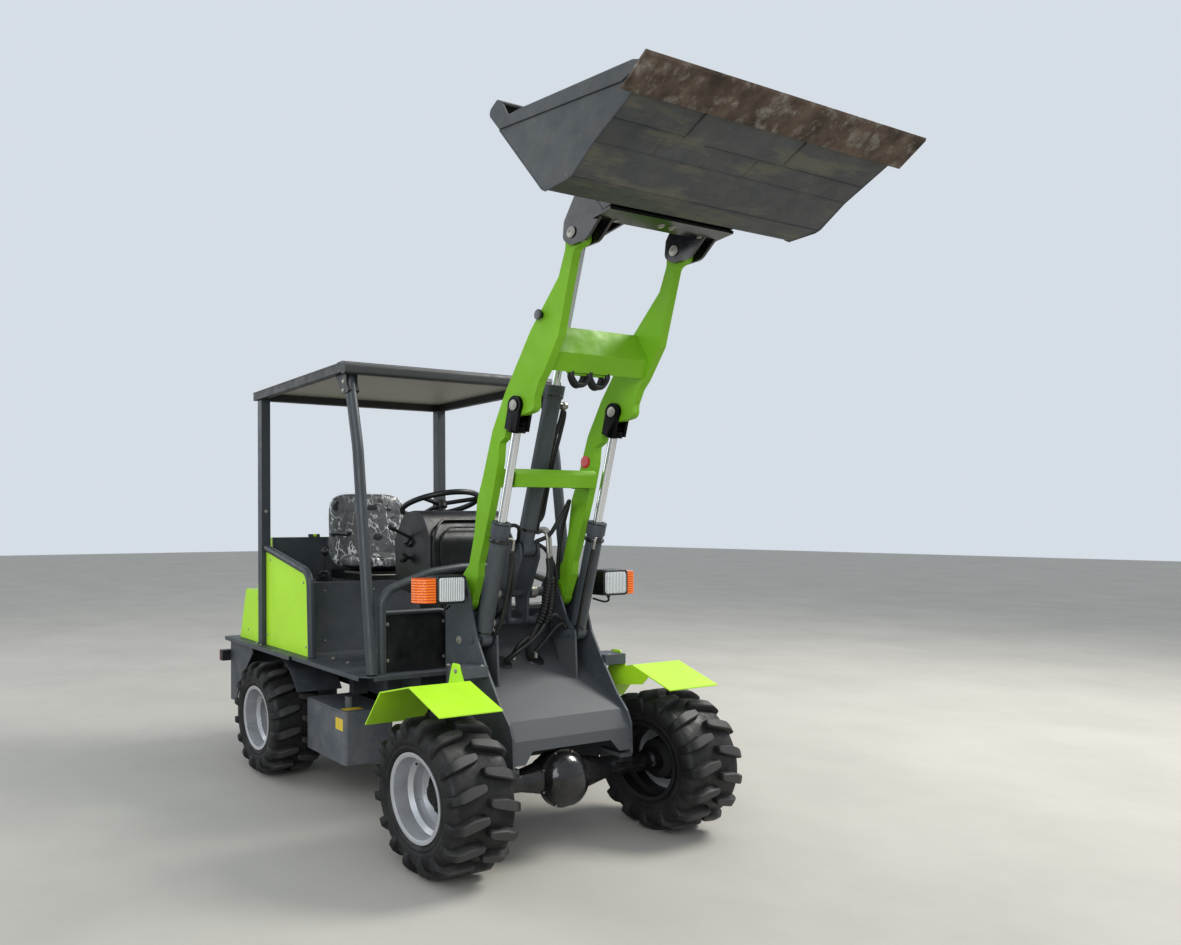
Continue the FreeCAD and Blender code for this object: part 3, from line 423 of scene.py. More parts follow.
class Build:
    """Collects simple forms into one mesh; kind picks the piece's material."""

    def __init__(self):
        self.points, self.faces, self.kinds = [], [], []

    def add(self, points, faces, kind=0):
        n = len(self.points)
        self.points += [at(*p) for p in points]
        self.faces += [tuple(n + i for i in face) for face in faces]
        self.kinds += [kind] * len(faces)

    def loft(self, rings, kind=0, closed=False, caps=True):
        """Skin through rings of equally many points."""
        n, m = len(rings), len(rings[0])
        faces = []
        for i in range(n if closed else n - 1):
            a, b = i * m, ((i + 1) % n) * m
            faces += [(a + k, a + (k + 1) % m, b + (k + 1) % m, b + k) for k in range(m)]
        if caps and not closed:
            faces += [tuple(range(m))[::-1], tuple((n - 1) * m + k for k in range(m))]
        self.add([p for ring in rings for p in ring], faces, kind)

    def turned(self, profile, origin, axis, sides=24, kind=0):
        """(along, radius) profile turned about an axis through origin."""
        origin, axis = Vector(origin), Vector(axis).normalized()
        u = axis.orthogonal().normalized()
        w = axis.cross(u)
        rings = [[origin + axis * a + (u * math.cos(t) + w * math.sin(t)) * r
                  for t in (2 * math.pi * k / sides for k in range(sides))] for a, r in profile]
        self.loft(rings, kind)

    def bolt(self, origin, axis, across=17, height=8, washer=True, kind=0):
        if washer:
            self.turned([(0, across * 0.75), (1.6, across * 0.75), (2, across * 0.70)],
                        origin, axis, 20, kind)
        self.turned([(1, across / 2), (height - 1.5, across / 2), (height, across * 0.42)],
                    origin, axis, 6, kind)

    def tube(self, path, radius, sides=12, kind=0, steps=8, closed=False, bead=0.0, pitch=6.0):
        """Round hose through the points on a smooth line; bead gives a spiral guard's ridges."""
        line = smooth_line(path, steps, closed)
        if bead:
            line = even(line, pitch)
        rings, u = [], None
        for i, p in enumerate(line):
            a, b = line[max(i - 1, 0)], line[min(i + 1, len(line) - 1)]
            if closed:
                a, b = line[i - 1], line[(i + 1) % len(line)]
            t = (b - a).normalized()
            u = (t.orthogonal() if u is None else u - t * u.dot(t)).normalized()
            w = t.cross(u)
            r = radius + (bead if bead and i % 2 else 0)
            rings.append([p + (u * math.cos(q) + w * math.sin(q)) * r
                          for q in (2 * math.pi * k / sides for k in range(sides))])
        self.loft(rings, kind, closed)

    def plate(self, outline, along, thick, kind=0):
        """Flat plate: outline of points, thickened by thick mm along a direction."""
        shift = Vector(along).normalized() * thick
        lower = [Vector(p) for p in outline]
        self.loft([lower, [p + shift for p in lower]], kind)

    def make(self, name, body, materials, slot, bevel=0.0, shade=32):
        mesh = bpy.data.meshes.new(name)
        mesh.from_pydata(self.points, [], self.faces)
        mesh.polygons.foreach_set("material_index", self.kinds)
        form = bmesh.new()
        form.from_mesh(mesh)
        bmesh.ops.remove_doubles(form, verts=form.verts, dist=0.00001)
        bmesh.ops.recalc_face_normals(form, faces=form.faces)
        form.to_mesh(mesh)
        form.free()
        for material in materials:
            mesh.materials.append(material)
        mesh.polygons.foreach_set("use_smooth", [True] * len(mesh.polygons))
        mesh.set_sharp_from_angle(angle=math.radians(shade))
        obj = link(name, mesh, body, None)
        if bevel:
            edge = obj.modifiers.new("edge", "BEVEL")
            edge.width, edge.segments, edge.limit_method = bevel / 1000, 2, "ANGLE"
            edge.angle_limit, edge.harden_normals = math.radians(32), True
        return obj


def smooth_line(path, steps=8, closed=False):
    """Catmull-Rom line through the points."""
    pts = [Vector(p) for p in path]
    n = len(pts)
    ends = range(n if closed else n - 1)
    line = []
    for i in ends:
        p0 = pts[i - 1] if closed or i else pts[0] * 2 - pts[1]
        p1, p2 = pts[i], pts[(i + 1) % n]
        p3 = pts[(i + 2) % n] if closed or i + 2 < n else p2 * 2 - p1
        for k in range(steps):
            t = k / steps
            line.append(0.5 * (2 * p1 + (p2 - p0) * t + (2 * p0 - 5 * p1 + 4 * p2 - p3) * t * t
                               + (3 * p1 - p0 - 3 * p2 + p3) * t ** 3))
    return line if closed else line + [pts[-1]]


def even(line, pitch):
    """The same line with points one pitch apart."""
    out, left = [line[0]], pitch
    for a, b in zip(line, line[1:]):
        run = (b - a).length
        while run > 0 and left <= run:
            a = a + (b - a).normalized() * left
            out.append(a)
            run, left = (b - a).length, pitch
        left -= run
    return out + [line[-1]]


def rounded(x0, x1, z0, z1, r, steps=5):
    """Rounded rectangle as (x, z) points."""
    out = []
    for cx, cz, turn in ((x1 - r, z1 - r, 0), (x0 + r, z1 - r, 1), (x0 + r, z0 + r, 2), (x1 - r, z0 + r, 3)):
        out += [(cx + r * math.cos(a), cz + r * math.sin(a))
                for a in (math.pi / 2 * (turn + k / steps) for k in range(steps + 1))]
    return out


def mirrored(form, *args):
    """Calls form for the machine's right (-1) and left (1) side."""
    for side in (-1, 1):
        form(side, *args)


# Tyres and wheels

LUG_ROWS = [  # top x and radius, base x and radius, edges along the tread
    (5, 326, 4, 294, 13, 31), (12, 329, 10, 295, 5, 38), (34, 329.4, 34, 295, -3, 37),
    (60, 329.4, 60, 295, -10, 35), (84, 329.4, 84, 295, -16, 32), (106, 329, 106, 295, -22, 24),
    (124, 327, 122, 294, -27, 18), (142, 317, 136, 291, -31, 12), (156, 308, 146, 286, -35, 7),
    (166, 300, 152, 276, -38, 4), (168.5, 286, 155, 262, -38, 3), (168, 264, 157, 250, -37, 2),
    (164, 246, 159, 240, -35, 0)]
SIDEWALL = [(134, 176), (143, 186), (149, 199), (154, 204), (155.5, 211), (153.5, 217), (158, 226),
            (160, 240), (157, 262), (150, 282), (140, 292), (118, 295.5), (60, 296), (0, 296)]


def tyre(place, side, station):
    form = Build()
    centre = Vector((side * 658, station, 330))
    profile = SIDEWALL + [(-a, r) for a, r in SIDEWALL[-2::-1]]
    rings = [[centre + Vector((a, -r * math.sin(t), r * math.cos(t))) for a, r in profile]
             for t in (2 * math.pi * k / 96 for k in range(96))]
    form.loft(rings, closed=True)
    for i in range(32):
        hand = side if i < 16 else -side
        turn = math.radians(6.79 + (i % 16 + (0.5 if i >= 16 else 0)) * 22.5)
        rings = []
        for xt, rt, xb, rb, lo, hi in LUG_ROWS:
            xm, rm = xt + (xb - xt) * 0.16, rt + (rb - rt) * 0.16
            row = [(xb, rb, lo - 4), (xm, rm, lo), (xt, rt, lo + 4), (xt, rt, (lo + hi) / 2),
                   (xt, rt, hi - 4), (xm, rm, hi), (xb, rb, hi + 4)]
            ring = []
            for x, r, u in row:
                t = turn - u / 330
                ring.append(centre + Vector((hand * x, -r * math.sin(t), r * math.cos(t))))
            rings.append(ring)
        form.loft(rings)
    obj = form.make("tyre_tread_" + place, "wheel_" + place, [M["tyre"]], "tyre", 0, 40)
    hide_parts("tyre_" + place)


def wheel_trim(place, side, station):
    """Nuts, studs and a capped hub on the wheel's disc, and a valve in the rim."""
    form = Build()
    for k in range(5):
        t = 2 * math.pi * (k + 0.25) / 5
        spot = (side * 664, station + 78 * math.sin(t), 330 + 78 * math.cos(t))
        form.turned([(-1, 13), (2, 13), (3, 10.5)], spot, (side, 0, 0), 18)
        form.turned([(2, 9.5), (15, 9.5), (16.5, 8)], spot, (side, 0, 0), 6)
        form.turned([(10, 5), (23, 5), (24, 4)], spot, (side, 0, 0), 10)
    for k in range(8):
        t = 2 * math.pi * (k + 0.5) / 8
        form.bolt((side * 713, station + 26 * math.sin(t), 330 + 26 * math.cos(t)), (side, 0, 0), 9, 5, False)
    form.make("wheel_nuts_" + place, "wheel_" + place, [M["gloss_black"]], "gloss_black")
    valve = Build()
    valve.turned([(0, 4), (16, 4), (17, 5), (30, 5), (31, 3)], (side * 700, station + 112, 330 + 116),
                 (side * 0.9, -0.25, -0.3), 10)
    valve.make("wheel_valve_" + place, "wheel_" + place, [M["black_plastic"]], "black_plastic")


for place, (side, station) in WHEELS.items():
    tyre(place, side, station)
    wheel_trim(place, side, station)


# Lift and tilt cylinders

def along(base, top, d, x=0.0, off=0.0):
    """Point d mm along a cylinder from its base, off mm to the front of it."""
    run = Vector((0, top[0] - base[0], top[1] - base[1])).normalized()
    return Vector((x, base[0], base[1])) + run * d + Vector((0, -run.z, run.y)) * off


LIFT_TOP, LIFT_BASE = (-72, 2000), (203, 945)
TILT_BASE, TILT_EYE = (252, 1362), (-170, 2790)
AXIS = Vector((0, LIFT_TOP[0] - LIFT_BASE[0], LIFT_TOP[1] - LIFT_BASE[1])).normalized()
TILT_AXIS = Vector((0, TILT_EYE[0] - TILT_BASE[0], TILT_EYE[1] - TILT_BASE[1])).normalized()


def lift_fittings(side):
    def spot(x, d, off=0.0):
        return along(LIFT_BASE, LIFT_TOP, d, side * x, off)
    name = "left" if side > 0 else "right"
    form = Build()
    form.turned([(0, 38), (0, 45), (3, 46), (13, 46), (16, 45), (16, 38)], spot(288, 466), AXIS, 32)
    form.turned([(0, 44), (0, 45.2), (5, 45.2), (5, 44)], spot(288, 551), AXIS, 32)
    form.turned([(0, 38), (0, 41), (10, 41), (10, 38)], spot(288, 30), AXIS, 32)
    form.bolt(spot(243, 474), (-side, 0, 0), 14, 8, False)
    form.make("lift_clamp_" + name, "lift_barrels", [M["gloss_black"]], "gloss_black", 0.8)
    steel = Build()
    steel.tube([spot(262, 492, 30), spot(250, 493, 46), spot(244, 484, 50), spot(243, 466, 50),
                spot(243, 440, 50)], 6, 12)
    steel.turned([(0, 9), (14, 9)], spot(243, 430, 50), AXIS, 6)
    steel.make("lift_pipe_" + name, "lift_barrels", [M["zinc"]], "pin_steel")
    hose = Build()
    hose.tube([spot(243, 440, 50), spot(241, 400, 50), spot(236, 320, 52), spot(234, 230, 52),
               spot(236, 150, 50), spot(242, 70, 44), spot(250, 24, 30), spot(262, 10, 14)], 9, 12)
    hose.make("lift_hose_" + name, "lift_barrels", [M["hose"]], "black_plastic")
    head = Build()
    for out in (-1, 1):
        x = side * 288 + out * 43
        head.turned([(-2, 24), (2, 24), (3.2, 21)], (x, *LIFT_TOP), (out, 0, 0), 32)
        head.turned([(2, 9), (5, 9), (5, 4)], (x, *LIFT_TOP), (out, 0, 0), 6)
    head.make("lift_pin_heads_" + name, "lift_rods", [M["zinc"]], "pin_steel")


mirrored(lift_fittings)


def tilt_fittings():
    def spot(x, d, off=0.0):
        return along(TILT_BASE, TILT_EYE, d, x, off)
    form = Build()
    form.turned([(0, 40), (0, 41.5), (14, 41.5), (14, 40)], spot(0, 90), TILT_AXIS, 32)
    form.turned([(0, 46), (0, 47), (6, 47), (6, 46)], spot(0, 744), TILT_AXIS, 32)
    form.turned([(0, 16), (16, 16), (17, 15)], spot(40, 700), (1, 0, 0), 20)
    form.turned([(0, 15), (14, 15), (15, 14)], spot(38, 84), (1, 0, 0), 20)
    form.make("tilt_ports", "tilt_barrel", [M["gloss_black"]], "gloss_black", 0.8)
    cap = Build()
    cap.turned([(0, 13), (8, 13.5), (12, 19), (24, 20), (30, 17), (33, 9)], spot(57, 700), (1, 0, 0), 20)
    cap.turned([(0, 11), (12, 11)], spot(74, 684), TILT_AXIS, 6)
    cap.make("tilt_cap", "tilt_barrel", [M["zinc"]], "pin_steel")
    hose = Build()
    hose.tube([spot(74, 690), spot(74, 660), spot(70, 620), spot(58, 560), spot(53, 480), spot(53, 380),
               spot(54, 280), spot(56, 190), spot(57, 110), spot(57, 88), spot(48, 80)], 10.5, 12)
    for d in (520, 330, 150):
        hose.turned([(-5, 13), (5, 13)], spot(54, d), TILT_AXIS, 14)
    hose.make("tilt_hose", "tilt_barrel", [M["hose"]], "black_plastic")
    second = Build()
    second.tube([spot(86, 676), spot(90, 640), spot(86, 560), spot(78, 450), spot(76, 330), spot(77, 240),
                 spot(78, 170), spot(66, 140), spot(46, 132)], 9, 12)
    second.make("tilt_hose_2", "tilt_barrel", [M["hose"]], "black_plastic")


tilt_fittings()


# Hoses on the front frame, held at both ends

def frame_hoses():
    pipe = Build()
    pipe.tube([(74, 236, 1452), (94, 214, 1458), (106, 196, 1440), (109, 190, 1390), (109, 188, 1330)],
              7.5, 14)
    pipe.tube([(74, 240, 1434), (80, 206, 1442), (83, 186, 1424), (84, 180, 1380), (84, 176, 1322)], 7.5, 14)
    for x, s, z in ((109, 188, 1330), (84, 176, 1322), (-60, 262, 838), (76, 262, 838)):
        pipe.turned([(-16, 11), (16, 11)], (x, s, z), (0, 0, 1), 6)
    pipe.make("frame_pipes", "front_frame", [M["zinc"]], "pin_steel")
    hose = Build()
    hose.tube([(109, 188, 1320), (108, 182, 1250), (98, 176, 1150), (86, 176, 1060), (60, 186, 985),
               (10, 206, 920), (-50, 238, 866), (-88, 268, 826), (-104, 290, 800)], 12, 12)
    hose.tube([(84, 176, 1312), (80, 168, 1250), (62, 166, 1150), (44, 170, 1060), (20, 190, 980),
               (0, 220, 910), (20, 252, 850), (60, 276, 816), (96, 292, 800)], 12, 12)
    hose.tube([(-60, 262, 850), (-40, 236, 900), (10, 214, 945), (80, 214, 985), (150, 222, 1030),
               (205, 216, 1010)], 10.5, 12)
    hose.tube([(76, 262, 850), (110, 240, 900), (160, 226, 960), (196, 210, 990), (222, 206, 965)], 10.5, 12)
    hose.tube([(55, 232, 1392), (98, 186, 1424), (128, 152, 1496), (168, 146, 1556), (214, 172, 1590),
               (244, 214, 1560), (246, 246, 1480), (240, 266, 1380), (236, 276, 1280), (237, 280, 1200)],
              10, 12)
    hose.tube([(-55, 232, 1392), (-84, 190, 1420), (-112, 158, 1462), (-160, 156, 1470), (-208, 176, 1420),
               (-226, 206, 1340), (-226, 236, 1250), (-232, 256, 1190)], 9, 12)
    hose.tube([(-150, 330, 1010), (-140, 250, 1060), (-124, 200, 1150), (-118, 190, 1240), (-106, 210, 1330),
               (-76, 240, 1384), (-56, 250, 1390)], 9, 12)
    hose.tube([(160, 330, 1010), (168, 260, 1080), (160, 210, 1180), (140, 196, 1270), (104, 214, 1350),
               (62, 250, 1392)], 9, 12)
    hose.make("frame_hoses", "front_frame", [M["hose"]], "black_plastic")
    guard = Build()
    guard.tube([(106, 180, 1220), (98, 176, 1150), (87, 176, 1064), (66, 184, 1000)], 14, 14,
               bead=4.5, pitch=8)
    guard.tube([(75, 167, 1220), (62, 166, 1150), (46, 170, 1066), (28, 184, 1000)], 14, 14,
               bead=4.5, pitch=8)
    guard.make("hose_guards", "front_frame", [M["hose"]], "black_plastic")
    ring = Build()
    for x, s, z in ((-104, 290, 803), (96, 292, 803)):
        ring.turned([(0, 12), (0, 44), (5, 46), (12, 41), (16, 20), (16, 12)], (x, s - 2, z),
                    (0, -0.55, 0.83), 28)
    ring.make("hose_grommets", "front_frame", [M["hose"]], "black_plastic")
    cross = Build()
    for x, s, z in ((-150, 330, 1000), (160, 330, 1000)):
        cross.turned([(-14, 20.5), (-14, 30), (14, 30), (14, 20.5)], (x, s, z), (1, 0, 0), 28)
    for x in (-120, 110):
        cross.turned([(-20, 22.5), (-20, 31), (20, 31), (20, 22.5)], (x, 330, 1140), (1, 0, 0), 28)
    cross.make("cross_collars", "front_frame", [M["zinc"]], "pin_steel", 1)


frame_hoses()


# Lamps

def lamp(side):
    """Fluted lens behind a rounded bezel, with an adjusting bolt below."""
    name = "left" if side > 0 else "right"
    lens = Build()
    rings = []
    for inset, s in ((0, 164), (0, 156), (2, 153.6), (8, 152.6), (30, 152.1)):
        rings.append([(side * x, s, z) for x, z in rounded(425 + inset, 572 - inset, 1128 + inset,
                                                           1240 - inset, max(4, 16 - inset / 2))])
    lens.loft(rings)
    obj = lens.make("lamp_lens_" + name, "front_frame", [M["lens_glass"]], "clear_lens", 0, 50)
    bezel = Build()
    rings = [[(side * x, s, z) for x, z in rounded(*edge)] for edge, s in (
        ((418, 579, 1120, 1248, 18), 170), ((418, 579, 1120, 1248, 18), 156),
        ((421, 576, 1123, 1245, 17), 152.2),
        ((427, 570, 1129, 1239, 15), 152.2), ((429, 568, 1131, 1237, 14), 156))]
    bezel.loft(rings, caps=False)
    bezel.bolt((side * 500, 205, 1120), (0, 0, -1), 19, 14)
    bezel.tube([(side * 500, 205, 1108), (side * 500, 205, 1090), (side * 486, 225, 1084),
                (side * 440, 250, 1100)], 5, 10)
    bezel.make("lamp_bezel_" + name, "front_frame", [M["black_plastic"]], "black_plastic")
    return obj


def lamps():
    lenses = [lamp(-1), lamp(1)]
    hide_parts("headlamp_lenses")


lamps()


# Bucket seams and coupler bolts

def bucket_details():
    seams = Build()

    def weld(path, r=2.6):
        seams.tube(path, r, 6, 0, 1)
    for f, x0, x1 in ((0.53, -668, -330), (0.60, -220, 668), (1.0, -670, 670)):
        s, z = -1077 + f * 176, 2857 - f * 92
        weld([(x0, s, z - 0.5), (x1, s, z - 0.5)])
    for x in (-330, 190):
        weld([(x, -1073, 2855), (x, -980, 2806)])
    for x in (-400, 60):
        weld([(x, -966, 2799), (x, -902, 2765.5)])
    weld([(-670, -792, 2686), (670, -792, 2686)], 2)
    for side in (-1, 1):
        x = side * 669
        weld([(x, -1086, 2867), (x, -901, 2766), (x, -800, 2691), (x, -780, 2684), (x, -664, 2681),
              (x, -646, 2693), (x, -412, 3003)], 3)
    seams.make("bucket_welds", "bucket", [M["bucket_paint"]], "bucket_paint")
    bolts = Build()
    for x, s, z, axis in ((-250, -612, 2681, (0, -0.2, -1)), (-235, -575, 2668, (0, 0, -1)),
                          (-20, -600, 2667, (0, 0, -1)),
                          (40, -600, 2667, (0, 0, -1)), (230, -575, 2668, (0, 0, -1))):
        bolts.bolt((x, s, z + 2), axis, 22, 9)
    for side in (-1, 1):
        for out in (-1, 1):
            x = side * 288 + out * 43
            bolts.turned([(-2, 23), (1.6, 23), (3, 20)], (x, -432, 2651), (out, 0, 0), 32)
            bolts.turned([(1, 6), (6, 6), (6, 3)], (x, -422, 2658), (out, 0, 0), 6)
            bolts.turned([(0.5, 3), (5, 3)], (x, -440, 2646), (out, 0, 0), 8)
    bolts.make("coupler_bolts", "bucket_pins", [M["zinc"]], "pin_steel")


bucket_details()


# Small fasteners, plates and trim

def fasteners():
    rear, front = Build(), Build()
    for side in (-1, 1):
        for s, z in ((1340, 1150), (1800, 1262), (1840, 800), (1310, 790)):
            rear.turned([(0, 7.5), (2.4, 7), (3.6, 4)], (side * 662, s, z), (side, 0, 0), 16)
        for s in (1010, 1180):
            rear.bolt((side * 560, s, 735), (0, 0, 1), 17, 9)
        for s in (1869, 1929):
            rear.bolt((side * 700, s, 735), (0, 0, 1), 15, 7)
        for z in (2216, 2170):
            rear.bolt((side * 678, 838 - (z - 2170) * 0.1, z), (side, 0, 0), 14, 6)
        rear.bolt((side * 660, 1868.5, 1560), (0, -1, 0), 16, 9)
        for z in (800, 980):
            rear.bolt((side * 548, 626, z), (0, -1, 0), 12, 5)
            rear.bolt((side * 212, 626, z), (0, -1, 0), 12, 5)
        for s, z in ((1980, 800), (1980, 1010), (2150, 800)):
            rear.turned([(0, 7.5), (2.4, 7), (3.6, 4)], (side * 665, s, z), (side, 0, 0), 16)
        for x in (150, 480):
            rear.turned([(0, 7), (2.2, 6.5), (3.4, 3)], (side * x, 1430, 1090), (0, -1, 0), 16)
            rear.turned([(0, 7), (2.2, 6.5), (3.4, 3)], (side * x, 1430, 800), (0, -1, 0), 16)
        front.bolt((side * 490, 140, 818), (side, 0, 0), 15, 7)
        front.bolt((side * 354, 300, 930), (side, 0, 0), 20, 12)
        front.turned([(0, 20), (2, 20), (2.5, 18)], (side * 354, 300, 930), (side, 0, 0), 24)
        front.turned([(0, 23), (3, 23), (4, 20)], (side * 362, 330, 1140), (side, 0, 0), 28)
        for s, x in ((190, 500), (100, 380)):
            front.bolt((side * x, s - 10, 840), (0, 0, 1), 13, 6)
        for s in (-50, 50):
            for x in (305, 366):
                front.bolt((side * x, s, 384), (0, 0, -1), 16, 8, False)
                rear.bolt((side * x, 1698 + s, 384), (0, 0, -1), 16, 8, False)
    for a in range(8):
        t = math.radians(22.5 + 45 * a)
        front.bolt((-40 + 127 * math.cos(t), -52, 330 + 127 * math.sin(t)), (0, -1, 0), 12, 6, False)
        rear.bolt((-40 + 127 * math.cos(t), 1750, 330 + 127 * math.sin(t)), (0, 1, 0), 12, 6, False)
    rear.make("frame_bolts", "rear_frame", [M["zinc"]], "pin_steel")
    front.make("front_bolts", "front_frame", [M["zinc"]], "pin_steel")
    stop = Build()
    stop.turned([(0, 13), (14, 13), (16, 11), (16, 22), (22, 22), (23, 18)], (-308, -232, 2363),
                (-1, 0, 0), 24)
    stop.turned([(0, 13), (14, 13), (16, 11)], (308, -232, 2363), (1, 0, 0), 24)
    stop.make("arm_stops", "boom", [M["gloss_black"]], "gloss_black")
    disc = Build()
    disc.turned([(0, 30), (1.2, 30), (1.6, 28)], (267.5, 117, 1779), (-1, 0, 0), 32)
    disc.make("arm_disc", "boom", [M["red_lens"]], "red_lens")


def plates():
    """Blank plates where the battery box is labelled, and the lids' seams."""
    form = Build()
    form.plate([(-650, 905, 400), (-650, 985, 400), (-650, 985, 462), (-650, 905, 462)], (-1, 0, 0), 0.8)
    form.plate([(-632, 912, 505), (-520, 912, 505), (-520, 966, 505), (-632, 966, 505)], (0, 0, 1), 0.8)
    form.make("blank_plates", "rear_frame", [M["blank_plate"]], "amber_lens", 0.2)
    lid = Build()
    for x in (-651, 651):
        lid.tube([(x, 916, 496), (x, 1308, 496)], 1.6, 6, 0, 1)
    lid.make("box_seams", "rear_frame", [M["frame_grey"]], "frame_grey")


def console_trim():
    form = Build()
    for x, z0, z1, r, rad in ((252, 1160, 1500, 120, 7), (205, 1200, 1462, 90, 5)):
        ring = []
        for px, pz in rounded(-x, x, z0, z1, r, 4):
            s = 654 + max(0, (pz - 1420)) ** 2 / 150
            ring.append((px, s, pz))
        form.tube(ring, rad, 10, 0, 3, closed=True)
    form.make("console_rims", "rear_frame", [M["black_plastic"]], "black_plastic")
    dial = Build()
    for x, r in ((-110, 46), (0, 56), (110, 46)):
        dial.turned([(0, r), (8, r), (11, r - 5), (8, r - 8), (5, r - 9)], (x, 925, 1508),
                    (0, 0.52, 0.85), 28)
    dial.make("console_dials", "rear_frame", [M["gloss_black"]], "gloss_black")
    stalk = Build()
    stalk.tube([(-244, 850, 1392), (-290, 850, 1418), (-340, 850, 1440), (-372, 850, 1456)], 8, 12)
    stalk.turned([(0, 8), (6, 14), (34, 14), (44, 11), (50, 5)], (-356, 850, 1449), (-0.9, 0, 0.43), 20)
    stalk.turned([(0, 30), (8, 30), (14, 24), (30, 22)], (-268, 850, 1380), (-0.6, 0, 0.4), 20)
    stalk.turned([(0, 8), (30, 8), (32, 20), (44, 26), (60, 24), (70, 12)], (-262, 850, 1300), (-1, 0, 0), 20)
    stalk.make("console_stalk", "rear_frame", [M["black_plastic"]], "black_plastic")
    cap = Build()
    tilt = Vector((0, math.sin(math.radians(17)), math.cos(math.radians(17))))
    centre = Vector((0, 953, 1591))
    cap.turned([(-24, 36), (10, 40), (15, 36), (18, 20), (18.5, 6)], centre, tilt, 32)
    for k in range(3):
        t = math.radians(90 + 120 * k)
        out = Vector((math.cos(t), math.sin(t) * tilt.z, -math.sin(t) * tilt.y))
        cap.tube([centre + out * 34, centre + out * 120, centre + out * 200], 12, 10, 0, 2)
    cap.make("wheel_spokes", "steering_wheel", [M["black_plastic"]], "black_plastic")


def bellows():
    """Ribbed boot round the seat's side lever."""
    form = Build()
    profile = []
    for i in range(9):
        r = 58 - i * 4.2
        profile += [(i * 7, r), (i * 7 + 3.5, r - 7)]
    form.turned(profile + [(66, 16)], (-420, 1556, 1141), (0, -0.12, 1), 28)
    form.make("lever_boot", "rear_frame", [M["black_plastic"]], "black_plastic", 0, 60)


def louvres():
    """Pressed cooling slats in the hood's sides and the rear cowl."""
    form = Build()
    for side in (-1, 1):
        for i in range(6):
            z = 1140 + i * 34
            form.plate([(side * 584, 1975, z), (side * 584, 2100 - i * 6, z),
                        (side * 590, 2100 - i * 6, z - 12), (side * 590, 1975, z - 12)], (0, 0, 1), 3)
    form.make("hood_louvres", "engine_hood", [M["body_lime"]], "body_lime", 0.6)
    grille = Build()
    for i in range(9):
        z = 790 + i * 28
        s = 2290 - (z - 735) * 0.314
        grille.plate([(-420, s - 3, z), (420, s - 3, z), (420, s + 6, z - 8), (-420, s + 6, z - 8)],
                     (0, 0, 1), 3)
    grille.make("cowl_louvres", "rear_frame", [M["body_lime"]], "body_lime", 0.6)


def beam_hoses():
    """Two spare hose loops that hang clipped under the upper cross beam."""
    form = Build()
    for x, drop in ((-96, 52), (10, 56)):
        for k, off in enumerate((0, 22)):
            w = 46 - 14 * k
            form.tube([(x - w, -232 + off, 2142), (x - w - 4, -232 + off, 2118),
                       (x - w * 0.62, -230 + off, 2142 - drop),
                       (x, -230 + off, 2132 - drop), (x + w * 0.62, -230 + off, 2142 - drop),
                       (x + w + 4, -232 + off, 2118), (x + w, -232 + off, 2142)], 12, 12)
    form.make("beam_hoses", "boom", [M["hose"]], "black_plastic")
    clip = Build()
    for x in (-96, 10):
        clip.tube([(x - 66, -226, 2134), (x - 30, -226, 2128), (x + 30, -226, 2128), (x + 66, -226, 2134)],
                  7, 8)
    clip.make("beam_clips", "boom", [M["arm_green"]], "arm_green")


fasteners()
plates()
console_trim()
bellows()
louvres()
beam_hoses()


# Seat

def crowned(name, lo, hi, tilt, crown, channels, film):
    """Stuffed block between two corners, crowned, with sunk seams across it; tilt leans it back.
    With film, it is a wrap: larger by about that share, in soft waves, its hidden side open."""
    lo, hi = Vector(lo), Vector(hi)
    mid, half = (lo + hi) / 2, (hi - lo) / 2
    form = bmesh.new()
    bmesh.ops.create_cube(form, size=2)
    bmesh.ops.subdivide_edges(form, edges=form.edges[:], cuts=23, use_grid_fill=True)
    flat = 2 if half.z < half.y else 1
    for v in form.verts:
        p = v.co.copy()
        a = [abs(c) ** 5 for c in p]
        q = p / max(1e-6, (a[0] + a[1] + a[2]) ** 0.2) * max(abs(c) for c in p)
        others = [i for i in range(3) if i != flat]
        edge = max(abs(q[others[0]]), abs(q[others[1]]))
        puff = (1 - q[others[0]] ** 4) * (1 - q[others[1]] ** 4)
        q[flat] *= 1 - crown * (1 - puff)
        for i in others:
            q[i] *= 1 - 0.05 * abs(q[flat]) ** 2 * (1 - edge * 0.3)
        out = 1 if flat == 2 else -1
        if q[flat] * out > 0:
            for c, width in channels:
                k = math.exp(-((q[others[1] if flat == 2 else 2] - c) / width) ** 2)
                q[flat] *= 1 - 0.16 * k * (1 if abs(q[0]) < 0.92 else 0.5)
            k = math.exp(-((abs(q[0]) - 0.70) / 0.05) ** 2)
            q[flat] *= 1 - 0.12 * k
        if film:
            q *= 1.0 + film * (1 + 0.6 * math.sin(9 * q.x + 5 * q.z) * math.sin(7 * q.y - 4 * q.x))
        p = Vector((mid[i] + q[i] * half[i] for i in range(3)))
        p.y += (p.z - lo.z) * tilt
        v.co = at(*p)
    if film:
        form.normal_update()
        hidden = [f for f in form.faces if (f.normal.z < -0.5 if flat == 2 else f.normal.y > 0.5)]
        bmesh.ops.delete(form, geom=hidden, context="FACES")
    mesh = bpy.data.meshes.new(name)
    form.to_mesh(mesh)
    form.free()
    mesh.polygons.foreach_set("use_smooth", [True] * len(mesh.polygons))
    return mesh


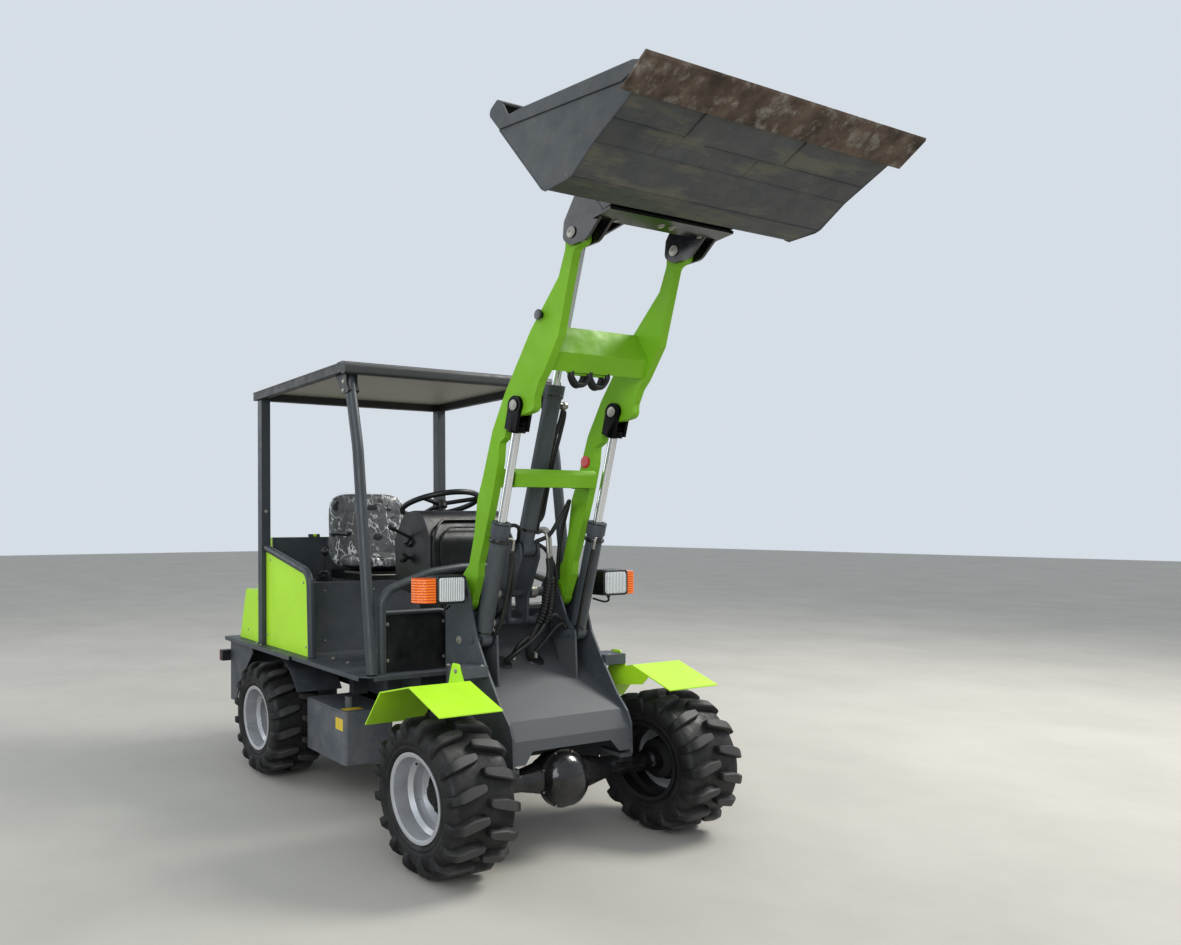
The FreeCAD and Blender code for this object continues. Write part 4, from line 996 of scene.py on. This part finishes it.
def seat():
    cushion = crowned("seat_pad", (-258, 1402, 1197), (258, 1697, 1303), 0, 0.30,
                      [(-0.45, 0.06), (0.1, 0.06), (0.6, 0.06)], 0)
    obj = link("seat_pad", cushion, "rear_frame", M["seat_vinyl"])
    obj.modifiers.new("smooth", "SUBSURF").levels = 1
    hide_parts("seat_cushion")
    back = crowned("seat_back_pad", (-273, 1702, 1212), (273, 1790, 1673), 0.05, 0.34,
                   [(-0.5, 0.05), (-0.05, 0.05), (0.45, 0.05)], 0)
    obj = link("seat_back_pad", back, "rear_frame", M["seat_vinyl"])
    obj.modifiers.new("smooth", "SUBSURF").levels = 1
    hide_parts("seat_back")
    wraps = [("seat_wrap", crowned("seat_wrap", (-258, 1402, 1197), (258, 1697, 1303), 0, 0.30, [], 0.028)),
             ("back_wrap", crowned("back_wrap", (-273, 1702, 1212), (273, 1790, 1673), 0.05, 0.34,
                                   [], 0.030))]
    wrinkle = bpy.data.textures.new("wrinkle", "CLOUDS")
    wrinkle.noise_scale, wrinkle.noise_depth = 0.085, 2
    for name, mesh in wraps:
        obj = link(name, mesh, "rear_frame", M["clear_film"])
        obj.modifiers.new("smooth", "SUBSURF").levels = 2
        crumple = obj.modifiers.new("crumple", "DISPLACE")
        crumple.texture, crumple.strength, crumple.mid_level = wrinkle, 0.016, 0.45
        crumple.texture_coords = "LOCAL"
    arm = Build()
    for side in (-1, 1):
        arm.tube([(side * 262, 1740, 1420), (side * 276, 1690, 1424), (side * 280, 1600, 1424),
                  (side * 276, 1500, 1420)], 15, 12)
        arm.turned([(0, 20), (14, 22), (20, 18)], (side * 254, 1748, 1420), (side, 0, 0), 20)
    arm.make("seat_armrests", "rear_frame", [M["seat_vinyl"]], "seat_vinyl")
    slide = Build()
    for side in (-1, 1):
        slide.plate([(side * 190, 1430, 1178), (side * 190, 1700, 1178), (side * 190, 1700, 1192),
                     (side * 190, 1430, 1192)], (side, 0, 0), 14)
    slide.tube([(-170, 1425, 1180), (-170, 1396, 1176), (0, 1392, 1174), (170, 1396, 1176),
                (170, 1425, 1180)], 5, 10)
    slide.make("seat_slides", "rear_frame", [M["zinc"]], "pin_steel", 1)


seat()
